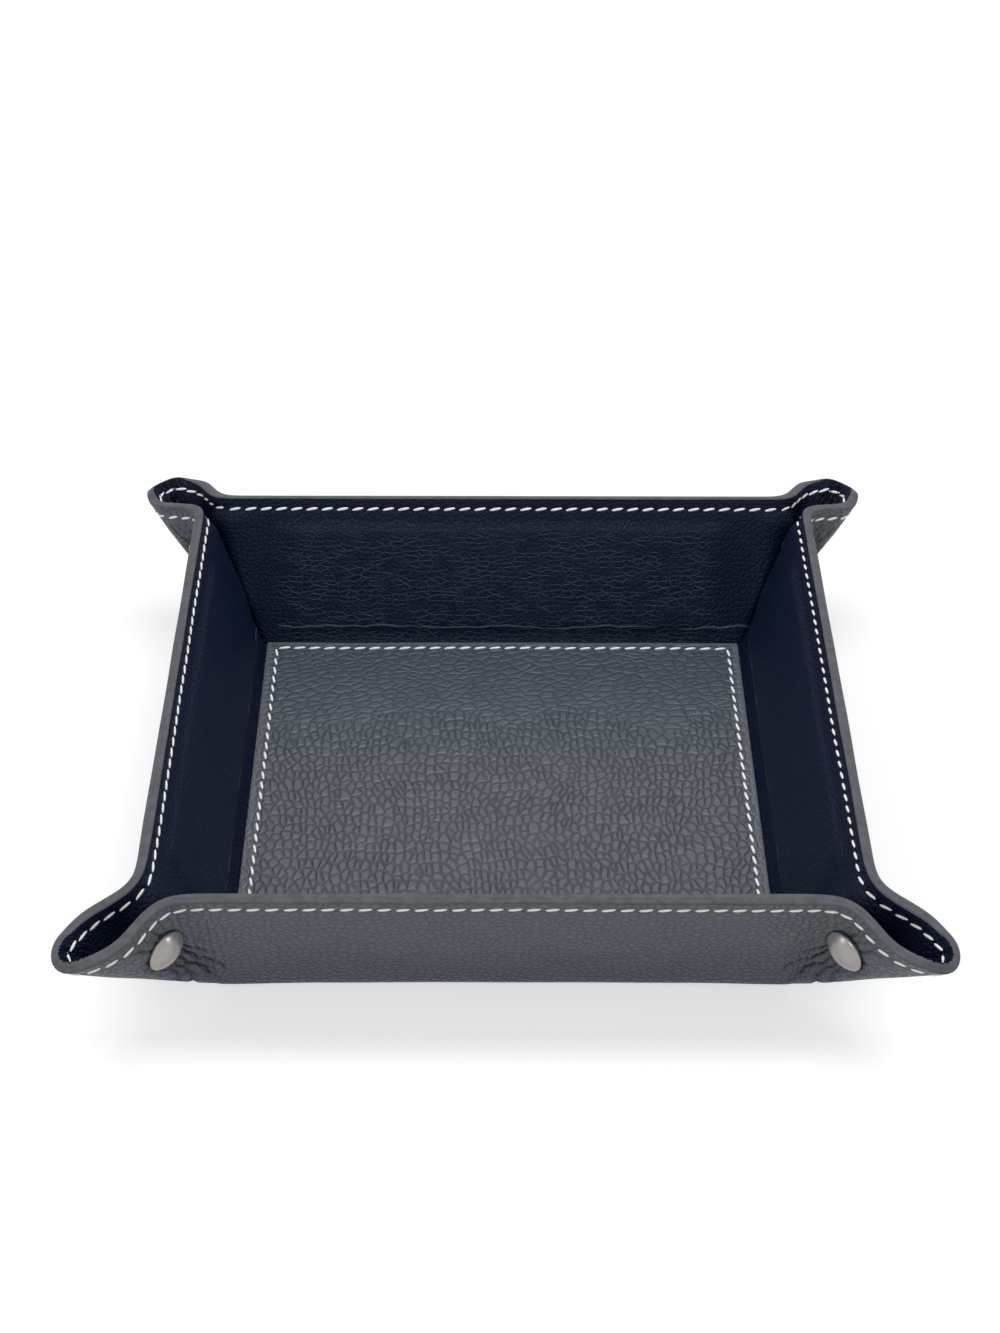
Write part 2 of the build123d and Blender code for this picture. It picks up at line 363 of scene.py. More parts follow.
    def _ray(self, angle: float) -> np.ndarray:
        """Ray of the pinched corner for an angle of the flat sheet, up to an eighth turn.

        Args:
            angle: Angle from the wall's own direction, at the base's corner.

        Returns:
            The ray's unit vector.
        """
        neck_start, neck_end = self.neck - self.neck_round, self.neck + self.neck_round
        tip_start = self.tip - self.ear_half
        if angle < neck_start:
            return self.up * math.cos(angle) + self.along * math.sin(angle)
        if angle < neck_end:
            share = (angle - neck_start) / (2 * self.neck_round)
            return self._fillet(
                self.neck_ray, -self.neck_along, self.leaf_along, self.neck_round, share
            )
        if angle < tip_start:
            turn = angle - self.neck
            return self.neck_ray * math.cos(turn) + self.leaf_along * math.sin(turn)
        share = (angle - tip_start) / (2 * self.ear_half)
        return self._fillet(
            self.tip_ray, -self.leaf_end_along, self.tip_along, self.ear_half, share
        )

    def _flared_rays(self) -> np.ndarray:
        """Rays of the wider loop that the rim makes, turned bend by bend from the wall.

        Returns:
            One ray for each angle of the table, the last one in the ear's middle.
        """
        ray, heading, rays = self.up, self.along, [self.up]
        step = self.table_angles[1]
        for angle in np.degrees(self.table_angles[:-1] + step / 2):
            turn = 0.0
            for centre, width, amount in self.flare_bends:
                near = min(abs(angle - centre) / width, 1.0)
                turn += amount * (1 + math.cos(math.pi * near)) / (2 * width)
            turn *= step
            side = np.cross(ray, heading)
            heading = heading * math.cos(turn) + side * math.sin(turn)
            ahead = ray * math.cos(step) + heading * math.sin(step)
            heading = heading * math.cos(step) - ray * math.sin(step)
            ray = ahead
            rays.append(ray)
        swept = np.array(rays)
        miss = float(swept[-1] @ self.across)
        share = (self.table_angles / self.table_angles[-1])[:, None] ** 2
        swept = swept - share * miss * self.across
        return swept / np.linalg.norm(swept, axis=1, keepdims=True)

    @staticmethod
    def fold_into_octant(x: np.ndarray, y: np.ndarray) -> tuple[np.ndarray, np.ndarray]:
        """Mirror flat points into the part right of the middle on the rear wall's side."""
        ax, ay = np.abs(x), np.abs(y)
        return np.minimum(ax, ay), np.maximum(ax, ay)

    def _hard(self, x: np.ndarray, y: np.ndarray) -> np.ndarray:
        """Places of flat points on the middle plane, with the base's folds left sharp.

        Args:
            x: Flat X of the points.
            y: Flat Y of the points.

        Returns:
            Their places in space.
        """
        u, v = self.fold_into_octant(x, y)
        rise = np.maximum(v - self.fold_half, 0)
        over = np.maximum(u - self.fold_half, 0)
        distance = np.hypot(rise, over)
        angle = np.arctan2(over, np.maximum(rise, 1e-12))
        flare = eased(distance, self.flare_start, self.flare_ease)
        flare = flare * np.where(y < 0, self.front_flare, self.rear_flare)
        rays = np.stack(
            [
                np.interp(angle, self.table_angles, self.pinched[:, k]) * (1 - flare)
                + np.interp(angle, self.table_angles, self.flared[:, k]) * flare
                for k in range(3)
            ]
        )
        rays = rays / np.linalg.norm(rays, axis=0)
        curl = eased(angle, *self.curl_turn) * eased(distance, *self.curl_reach)
        curl = curl * self.rear_curl * (y > 0)
        pu = np.minimum(u, self.fold_half) + distance * rays[0] - curl
        pv = np.minimum(v, self.fold_half) + distance * rays[1] - curl
        pz = self.fold_height + distance * rays[2] + self.curl_lift * curl
        swap = np.abs(x) > np.abs(y)
        px = np.where(swap, pv, pu) * np.where(x < 0, -1, 1)
        py = np.where(swap, pu, pv) * np.where(y < 0, -1, 1)
        return np.stack([px, py, pz], axis=-1)

    def middle(self, x: np.ndarray, y: np.ndarray) -> np.ndarray:
        """Places of flat points on the middle plane, with every fold rounded.

        Args:
            x: Flat X of the points.
            y: Flat Y of the points.

        Returns:
            Their places in space.
        """
        u, v = self.fold_into_octant(x, y)
        ease = smooth((self.fold_half - u) / self.fold_round_change)
        reach = self.corner_fold_round + (self.wall_fold_round - self.corner_fold_round) * ease
        bent = (v > self.fold_half - reach) & (
            (v < self.fold_half + reach) | (u > self.fold_half - reach)
        )
        places = self._hard(x, y)
        bx, by, near = x[bent], y[bent], reach[bent]
        total = np.zeros((len(bx), 3))
        for kx, ky in self.kernel:
            total += self._hard(bx + near * kx, by + near * ky)
        places[bent] = total / len(self.kernel)
        return places

    def rim_gap(self, x: np.ndarray, y: np.ndarray) -> np.ndarray:
        """Distance of flat points from the sheet's rounded outline.

        Args:
            x: Flat X of the points.
            y: Flat Y of the points.

        Returns:
            The distances, negative outside the sheet.
        """
        u, v = self.fold_into_octant(x, y)
        centre = self.fold_half + self.slant - self.corner_radius
        straight = self.fold_half + self.slant - v
        round_gap = self.corner_radius - np.hypot(u - centre, v - centre)
        return np.where(u > centre, round_gap, straight)

    def board_rise(self, x: np.ndarray, y: np.ndarray) -> np.ndarray:
        """How far the boards push the lining up.

        Args:
            x: Flat X of the points.
            y: Flat Y of the points.

        Returns:
            The rise over a lining without boards.
        """
        u, v = self.fold_into_octant(x, y)
        edge, ease = self.board_edge, self.board_ease
        rise = v - self.fold_half
        top = self.slant - self.wall_board_inset
        on_wall = smooth((rise - self.wall_board_start + edge) / ease)
        on_wall = on_wall * smooth((top + edge - rise) / ease)
        end = self.fold_half - self.wall_board_margin
        on_wall = on_wall * smooth((end + edge - u) / self.board_end_ease)
        on_base = smooth((self.fold_half - self.base_board_margin + edge - v) / ease)
        return self.board * np.maximum(on_wall, on_base)

    def ear_creases(self, x: np.ndarray, y: np.ndarray, layer: Layer) -> np.ndarray:
        """Depth of the creases that the pinched corner presses into one layer.

        Args:
            x: Flat X of the points.
            y: Flat Y of the points.
            layer: Which of the two layers.

        Returns:
            The depth at each point.
        """
        u, v = self.fold_into_octant(x, y)
        rise = np.maximum(v - self.fold_half, 1e-9)
        over = u - self.fold_half
        past_neck = over - rise * math.tan(self.neck)
        inside = smooth((past_neck + self.crease_border) / self.crease_ease)
        creases = self._comb(over, rise) if layer is Layer.LINING else self._wrinkling(over, rise)
        return inside * creases

    def _comb(self, over: np.ndarray, rise: np.ndarray) -> np.ndarray:
        """Depth of the close creases of the lining in the ear's closed end.

        Args:
            over: How far the points lie past the base's corner, along the wall.
            rise: How far the points lie up from the fold line.

        Returns:
            The depth at each point.
        """
        distance = np.hypot(rise, over)
        angle = np.arctan2(np.maximum(over, 0), rise)
        turns = angle / self.comb_pitch * 2 * math.pi + 1.6 * np.sin(distance / (2.1 * MM))
        wave = np.cos(turns + 1.3 * np.sin(angle / self.comb_sway_pitch * 2 * math.pi))
        share = eased(angle, *self.comb_turn) * eased(distance, *self.comb_reach)
        return self.comb_depth * share * (0.5 + 0.5 * wave)

    def _wrinkling(self, over: np.ndarray, rise: np.ndarray) -> np.ndarray:
        """Depth of the wrinkles that run away from the snap, and of the snap's own seat.

        Args:
            over: How far the points lie past the base's corner, along the wall.
            rise: How far the points lie up from the fold line.

        Returns:
            The depth at each point.
        """
        aside = over - self.snap_distance * math.sin(self.snap_angle)
        above = rise - self.snap_distance * math.cos(self.snap_angle)
        depth = np.zeros_like(rise)
        wander = (self.wrinkle_sway, self.wrinkle_tremble)
        for lean, length, deep in self.wrinkles:
            turn = self.snap_angle + math.radians(lean)
            along = -aside * math.sin(turn) - above * math.cos(turn)
            off = -aside * math.cos(turn) + above * math.sin(turn)
            for times, (reach, length_scale) in enumerate(wander, 1):
                off = off + reach * np.sin(along / length_scale + times * lean)
            fade = smooth((length * MM - along) / self.wrinkle_end)
            fade = eased(along, *self.wrinkle_start) * fade
            depth += deep * MM * fade * bell(off, self.wrinkle_width)
        depth *= eased(np.hypot(rise, over), *self.corner_calm)
        seat = smooth((self.seat_radius - np.hypot(aside, above)) / self.seat_ease)
        return depth + self.seat_depth * seat

    def relief(self, x: np.ndarray, y: np.ndarray, layer: Layer) -> np.ndarray:
        """How far one layer's face stands proud of an even thickness.

        Args:
            x: Flat X of the points.
            y: Flat Y of the points.
            layer: Which of the two layers.

        Returns:
            The height over the even face, negative where it sinks in.
        """
        seam = bell(self.rim_gap(x, y) - self.stitch_inset, self.seam_width)
        proud = ripple(x, y, self.waves) * self.wave_height - self.seam_depth * seam
        proud = proud - self.ear_creases(x, y, layer)
        return proud + self.pinch_roll(x, y) if layer is Layer.LINING else proud

    def pinch_roll(self, x: np.ndarray, y: np.ndarray) -> np.ndarray:
        """Roll of slack lining that the snap pushes together inside the ear's neck.

        Args:
            x: Flat X of the points.
            y: Flat Y of the points.

        Returns:
            The roll's height at each point.
        """
        u, v = self.fold_into_octant(x, y)
        rise, over = np.maximum(v - self.fold_half, 1e-9), u - self.fold_half
        distance, angle = np.hypot(rise, over), np.degrees(np.arctan2(over, rise))
        top = smooth((self.roll_top - distance) / self.roll_top_ease)
        span = eased(distance, *self.roll_foot) * top
        roll = self.roll_depth * bell(angle - self.roll_turn, self.roll_width)
        return roll * span * (over > -self.roll_border)

    def fold(self, points: np.ndarray, layer: Layer) -> np.ndarray:
        """Fold points of the flat leather into the tray's shape.

        Args:
            points: Flat X and Y, and the height over the middle plane.
            layer: The layer whose relief the points carry.

        Returns:
            Their places in space.
        """
        x, y, height = points.T
        keys = np.round(np.stack([x, y], axis=1) / 1e-7).astype(np.int64)
        _, first, back = np.unique(keys, axis=0, return_index=True, return_inverse=True)
        back = back.reshape(-1)
        fx, fy = x[first], y[first]
        place = self.middle(fx, fy)
        tx = self.middle(fx + PROBE, fy) - self.middle(fx - PROBE, fy)
        ty = self.middle(fx, fy + PROBE) - self.middle(fx, fy - PROBE)
        normal = np.cross(tx, ty)
        normal /= np.linalg.norm(normal, axis=1, keepdims=True)
        share = np.clip(height * layer.value / self.ply, 0, 1)
        raised = height + layer.value * share * self.relief(x, y, layer)
        if layer is Layer.LINING:
            raised = raised + np.where(height > 0, self.board_rise(x, y), 0)
        folded = self._keep_to_own_side(place[back] + normal[back] * raised[:, None], x, y)
        folded[:, 2] = np.maximum(folded[:, 2], 0)
        return folded

    def _keep_to_own_side(self, places: np.ndarray, x: np.ndarray, y: np.ndarray) -> np.ndarray:
        """Press the lining of an ear's two halves together where they would cross.

        Args:
            places: The points' places in space.
            x: Flat X of the points.
            y: Flat Y of the points.

        Returns:
            The places, kept apart.
        """
        sx, sy = np.where(x < 0, -1, 1), np.where(y < 0, -1, 1)
        px, py = places[:, 0] * sx, places[:, 1] * sy
        swap = np.abs(x) > np.abs(y)
        aside = np.where(swap, px - py, py - px) / math.sqrt(2)
        far = np.minimum(np.abs(x), np.abs(y)) < self.ear_start
        least, ease = self.half_gap, self.half_gap_ease
        kept = least + ease * np.logaddexp(0, (aside - least) / ease)
        push = np.where(far, 0, kept - aside) / math.sqrt(2)
        px = px + np.where(swap, push, -push)
        py = py + np.where(swap, -push, push)
        return np.stack([px * sx, py * sy, places[:, 2]], axis=1)

    def frame_at(self, x: float, y: float, height: float) -> tuple[np.ndarray, np.ndarray]:
        """Place and normal of one point on the folded leather.

        Args:
            x: Flat X.
            y: Flat Y.
            height: Height over the middle plane.

        Returns:
            The place, and the normal towards the tray's inside.
        """
        xs = np.array([x, x + PROBE, x - PROBE, x, x])
        ys = np.array([y, y, y, y + PROBE, y - PROBE])
        places = self.middle(xs, ys)
        normal = unit(np.cross(places[1] - places[2], places[3] - places[4]))
        return places[0] + normal * height, normal


@dataclass(frozen=True)
class RidgeBand:
    """A strip along the wall whose lining has drawn up into fine lines.

    Foot and top are distances from the middle of the base, over the flat sheet.
    """

    shrink: tuple[float, float]
    density: float
    foot: float
    top: float
    share: float


@dataclass(frozen=True)
class LeatherFinish:
    """Pebbled leather: its colours, the size of its grain and how deep the grain is."""

    name: str
    base: str
    # crease: colour of the painted shade in the grain's creases and in pressed-in wrinkles
    crease: str
    tone: str
    cell: float = 2.3 * MM
    depth: float = 0.5 * MM
    roughness: float = 0.5
    specular: float = 0.35
    stretch: float = 1.0
    pebble_edge: float = 0.24
    pebble_share: float = 1.0
    crease_edge: tuple[float, float] = (0.005, 0.045)
    crease_share: float = 0.7
    flow: float = 7.0 * MM
    # low_tone: colour of the painted shade towards the foot of the outer wall
    low_tone: str = ""
    low_share: float = 0.8
    low_span: tuple[float, float] = (84.0 * MM, 112.0 * MM)
    pressed_share: float = 0.8
    fold_line: bool = False
    fold_line_place: float = 90.0 * MM
    fold_line_edge: tuple[float, float] = (0.1 * MM, 0.5 * MM)
    fold_line_wander: float = 5.0 * MM
    fold_line_share: float = 0.6
    # ridge: colour of the painted highlight on the lining's fine raised lines
    ridge: str = "566170"
    ridge_depth: float = 0.0
    ridge_bands: tuple[RidgeBand, ...] = (
        RidgeBand((0.42, 1.0), 600.0, 84.0 * MM, 124.0 * MM, 0.85),
        RidgeBand((1.0, 0.5), 600.0, 124.0 * MM, 128.5 * MM, 0.5),
    )
    ridge_ends: tuple[float, float] = (66.0 * MM, 79.0 * MM)
    ridge_sway: tuple[float, float, float] = (4.0 * MM, 1.6 * MM, 0.0)
    ridge_width: float = 0.13
    panel_seam: float = 0.0
    panel_change: tuple[float, float] = (34.0 * MM, 44.0 * MM)
    panel_change_wander: float = 40.0 * MM
    sideways_scale: tuple[float, float] = (1.1, 1.2)
    sideways_turn: float = math.radians(14)
    # shadowed: colour of the painted shade and dark reflection at the panel's rear
    shadowed: str = "333e4c"
    shadowed_share: float = 0.86
    shadowed_span: tuple[float, float] = (5.0 * MM, 70.0 * MM)
    border: str = "60656a"
    border_share: float = 0.6
    border_span: tuple[float, float] = (0.7 * MM, 1.9 * MM)

    def material(self) -> bpy.types.Material:
        """Build the leather from a warped cell pattern that follows the sheet.

        Returns:
            The leather's material.
        """
        tree = Shader(self.name)
        coords = tree.uv(FLAT_UV)
        flowing = self._warped(tree, coords)
        grain = self._stretched(tree, flowing, (1.0, self.stretch), 0.0)
        cells = self._cells(tree, grain, 1 / self.cell)
        if self.panel_seam:
            cells = self._turned_at_rear(tree, coords, flowing, cells)
        pebble = tree.ramp(cells, 0.0, self.pebble_edge)
        patch = tree.noise(coords, 75.0, 4.0)
        strength = tree.ramp(patch, 0.38, 0.62)
        swell = tree.maths("MULTIPLY_ADD", tree.noise(grain, 900.0, 2.0), 0.35, pebble)
        relief = tree.times(swell, tree.maths("MULTIPLY_ADD", strength, 0.2, 0.8))
        relief = tree.times(relief, self.pebble_share)
        relief = tree.maths("MULTIPLY_ADD", tree.noise(coords, 2400.0, 3.0), 0.1, relief)
        # Painted shade: the grain's creases are darkened with the crease colour, as if shadow fell
        # into them.
        opened = tree.rest(tree.ramp(cells, *self.crease_edge))
        shade = tree.times(opened, tree.maths("MULTIPLY_ADD", strength, 0.3, 0.7))
        tint = tree.mix(srgb(self.base), srgb(self.tone), patch)
        # Painted shade: the outer wall darkens towards its foot, where less light reaches it.
        if self.low_tone:
            height = tree.maths("ABSOLUTE", tree.parts(tree.uv(WALL_UV))["Y"])
            low = tree.times(tree.rest(tree.ramp(height, *self.low_span)), self.low_share)
            tint = tree.mix(tint, srgb(self.low_tone), low)
        colour = tree.mix(tint, srgb(self.crease), tree.times(shade, self.crease_share))
        if self.fold_line:
            raised_lines_and_highlight = self._ridges(tree)
            relief = tree.maths("MULTIPLY_ADD", raised_lines_and_highlight, 1.1, relief)
            # Painted highlight: the raised lines are lightened with the ridge colour, as if they
            # caught the light.
            colour = tree.mix(colour, srgb(self.ridge), raised_lines_and_highlight)
        if self.panel_seam:
            colour, relief = self._panel_tones(tree, colour, relief)
        # Painted shade: pressed-in wrinkles, comb creases and the snap's seat are darkened as if
        # shadow filled the hollows.
        pressed = tree.node("ShaderNodeAttribute", attribute_name=PRESS).outputs["Fac"]
        deep = tree.times(tree.ramp(pressed, 0.12, 0.8), self.pressed_share)
        colour = tree.mix(colour, srgb(self.crease), deep)
        rough = tree.maths("MULTIPLY_ADD", pebble, -0.12, self.roughness + 0.1)
        tree.bump(relief, 1.0, self.depth)
        tree.finish(colour, rough, specular=self.specular)
        return tree.material

    def _warped(self, tree: "Shader", coords: Socket) -> Socket:
        """Bend the even sheet coordinates, so that the grain flows and its cells stretch.

        Args:
            tree: The leather's node tree.
            coords: The even coordinates.

        Returns:
            The bent coordinates.
        """
        for scale, reach in ((0.3 / self.cell, 0.7 * self.cell), (24.0, self.flow)):
            coords = tree.bent(coords, scale, 1.0, (reach,) * 3)
        return coords

    @staticmethod
    def _stretched(
        tree: "Shader", coords: Socket, scale: tuple[float, float], turn: float
    ) -> Socket:
        """Turn a pattern and stretch it along its own two axes.

        Args:
            tree: The leather's node tree.
            coords: The pattern's coordinates.
            scale: How much the pattern grows along each axis.
            turn: Angle of its axes.

        Returns:
            The pattern's new coordinates.
        """
        values = {"Rotation": (0.0, 0.0, turn), "Scale": (*scale, 1.0)}
        turned = tree.node("ShaderNodeMapping", values, vector_type="TEXTURE")
        tree.link(coords, turned.inputs["Vector"])
        return turned.outputs["Vector"]

    @staticmethod
    def _cells(tree: "Shader", coords: Socket, scale: float) -> Socket:
        """Distance to the nearest crease of a cell pattern.

        Args:
            tree: The leather's node tree.
            coords: The pattern's coordinates.
            scale: How many cells lie along a metre.

        Returns:
            The distance.
        """
        cells = tree.node(
            "ShaderNodeTexVoronoi", {"Scale": scale, "Randomness": 0.85},
            voronoi_dimensions="2D", feature="DISTANCE_TO_EDGE",
        )
        tree.link(coords, cells.inputs["Vector"])
        return cells.outputs["Distance"]

    def _turned_at_rear(
        self, tree: "Shader", coords: Socket, flowing: Socket, cells: Socket
    ) -> Socket:
        """Change to cells that lie across the panel in the strip along its rear edge.

        Args:
            tree: The leather's node tree.
            coords: The even coordinates of the panel.
            flowing: The same, bent by the flow of the grain.
            cells: Distance to the creases of the cells that run towards the rear.

        Returns:
            Distance to the creases of both kinds, mixed along the change.
        """
        longer, wider = self.sideways_scale
        scale = (longer * self.stretch, wider)
        sideways = self._stretched(tree, flowing, scale, self.sideways_turn)
        across = self._cells(tree, sideways, 1 / self.cell)
        wander = tree.maths("SUBTRACT", tree.noise(coords, 40.0, 1.0), 0.5)
        back = tree.parts(coords)["Y"]
        place = tree.maths("MULTIPLY_ADD", wander, self.panel_change_wander, back)
        share = tree.ramp(place, *self.panel_change)
        return tree.maths("MULTIPLY_ADD", tree.maths("SUBTRACT", across, cells), share, cells)

    def _panel_tones(self, tree: "Shader", colour: Socket, relief: Socket) -> tuple[Socket, Socket]:
        """Paint shade and the rear wall's dark reflection onto the panel's rear, and flatten and
        lighten its border outside the seam.

        Args:
            tree: The leather's node tree.
            colour: The panel's colour so far.
            relief: Its relief so far.

        Returns:
            The changed colour and relief.
        """
        parts = tree.parts(tree.place())
        # Painted shade and reflection: the panel darkens towards the rear wall, which shades it and
        # shows in it darkly.
        rear = tree.times(tree.ramp(parts["Y"], *self.shadowed_span), self.shadowed_share)
        colour = tree.mix(colour, srgb(self.shadowed), rear)
        out = tree.maths("MAXIMUM", *(tree.maths("ABSOLUTE", parts[axis]) for axis in "XY"))
        out = tree.ramp(out, *(self.panel_seam + reach for reach in self.border_span))
        colour = tree.mix(colour, srgb(self.border), tree.times(out, self.border_share))
        return colour, tree.times(relief, tree.maths("MULTIPLY_ADD", out, -0.6, 1.0))

    def _ridges(self, tree: "Shader") -> Socket:
        """Fine raised lines along the wall, where bending has drawn the lining up; they also mask a
        painted highlight.

        Args:
            tree: The leather's node tree.

        Returns:
            How strongly a line stands out, from 0 to 1.
        """
        along = tree.uv(WALL_UV)
        parts = tree.parts(along)
        height = tree.maths("ABSOLUTE", parts["Y"])
        wander = tree.maths("SUBTRACT", tree.noise(along, 70.0, 4.0), 0.5)
        bend = tree.maths("MULTIPLY_ADD", wander, -self.fold_line_wander, height)
        bend = tree.maths("ABSOLUTE", tree.maths("SUBTRACT", bend, self.fold_line_place))
        line = tree.rest(tree.ramp(bend, *self.fold_line_edge))
        line = tree.times(line, tree.ramp(tree.noise(along, 45.0, 2.0), 0.36, 0.48))
        if not self.ridge_depth:
            return tree.times(line, self.fold_line_share)
        wavering = tree.bent(along, 110.0, 1.5, self.ridge_sway)
        ends = tree.rest(tree.ramp(tree.maths("ABSOLUTE", parts["X"]), *self.ridge_ends))
        for band in self.ridge_bands:
            thin = tree.times(self._scales(tree, wavering, band), ends)
            rise = tree.ramp(height, band.foot - 3 * MM, band.foot + 2 * MM)
            fall = tree.rest(tree.ramp(height, band.top - 6 * MM, band.top + 2 * MM))
            thin = tree.times(thin, tree.times(rise, fall))
            line = tree.maths("MAXIMUM", line, tree.times(thin, self.ridge_depth * band.share))
        return line

    def _scales(self, tree: "Shader", wavering: Socket, band: RidgeBand) -> Socket:
        """Broken lines like the edges of fish scales, strongest where they lie level, as light from
        above would catch them; they mask a painted highlight.

        Args:
            tree: The leather's node tree.
            wavering: Coordinates along the wall, bent a little.
            band: The strip's sizes.

        Returns:
            How strongly a line stands out, from 0 to 1.
        """
        places = []
        for lift in (0.0, 0.12 / band.density):
            values = {"Location": (0.0, lift, 0.0), "Scale": (*band.shrink, 1.0)}
            flat = tree.node("ShaderNodeMapping", values)
            tree.link(wavering, flat.inputs["Vector"])
            places.append(flat.outputs["Vector"])
        near, above = (self._cells(tree, place, band.density) for place in places)
        level = tree.ramp(tree.maths("SUBTRACT", above, near), 0.0, 0.1)
        thin = tree.times(
            tree.rest(tree.ramp(near, 0.0, self.ridge_width)),
            tree.maths("MULTIPLY_ADD", level, 0.85, 0.15),
        )
        return tree.times(thin, tree.ramp(tree.noise(places[0], 260.0, 2.0), 0.3, 0.62))


@dataclass(frozen=True)
class EdgeFinish:
    """The burnished, painted cut edge of the two layers."""

    name: str
    base: str
    dark: str

    def material(self) -> bpy.types.Material:
        """Build the edge from two scales of grain across the object.

        Returns:
            The cut edge's material.
        """
        tree = Shader(self.name)
        coords = tree.place()
        broad = tree.noise(coords, 260.0, 5.0, 0.7)
        colour = tree.mix(srgb(self.dark), srgb(self.base), tree.ramp(broad, 0.35, 0.65))
        relief = tree.maths("MULTIPLY_ADD", tree.noise(coords, 2400.0, 3.0), 0.5, broad)
        tree.bump(relief, 0.6, 0.16 * MM)
        tree.finish(colour, 0.65, specular=0.25)
        return tree.material


@dataclass(frozen=True)
class ThreadFinish:
    """Twisted, waxed white thread."""

    name: str
    base: str
    shade: str

    def material(self) -> bpy.types.Material:
        """Build the thread from fine slanted plies.

        Returns:
            The thread's material.
        """
        tree = Shader(self.name)
        twist = tree.node(
            "ShaderNodeTexWave", {"Scale": 900.0, "Distortion": 1.5, "Detail": 2.0},
            bands_direction="DIAGONAL",
        )
        tree.link(tree.place(), twist.inputs["Vector"])
        plies = twist.outputs["Fac"]
        tree.bump(plies, 0.35, 0.15 * MM)
        tree.finish(tree.mix(srgb(self.shade), srgb(self.base), plies), 0.6, specular=0.3)
        return tree.material


@dataclass(frozen=True)
class MetalFinish:
    """Plated or lacquered metal of the snaps."""

    name: str
    base: str
    worn: str
    metallic: float
    roughness: float

    def material(self) -> bpy.types.Material:
        """Build the metal with a faint unevenness in tone and gloss.

        Returns:
            The metal's material.
        """
        tree = Shader(self.name)
        cloud = tree.noise(tree.place(), 420.0, 4.0)
        spread = tree.ramp(cloud, 0.3, 0.8)
        rough = tree.maths("MULTIPLY_ADD", spread, 0.12, self.roughness)
        tree.bump(cloud, 0.02, 0.1 * MM)
        colour = tree.mix(srgb(self.base), srgb(self.worn), spread)
        tree.finish(colour, rough, metallic=self.metallic)
        return tree.material


@dataclass(frozen=True)
class BoardFinish:
    """Grey pressed board that stiffens the base and the walls."""

    name: str
    base: str
    fleck: str

    def material(self) -> bpy.types.Material:
        """Build the board from flecks of pulp.

        Returns:
            The board's material.
        """
        tree = Shader(self.name)
        pulp = tree.noise(tree.place(), 700.0, 6.0, 0.7)
        tree.bump(pulp, 0.3, 0.2 * MM)
        tree.finish(tree.mix(srgb(self.base), srgb(self.fleck), pulp), 0.85, specular=0.2)
        return tree.material


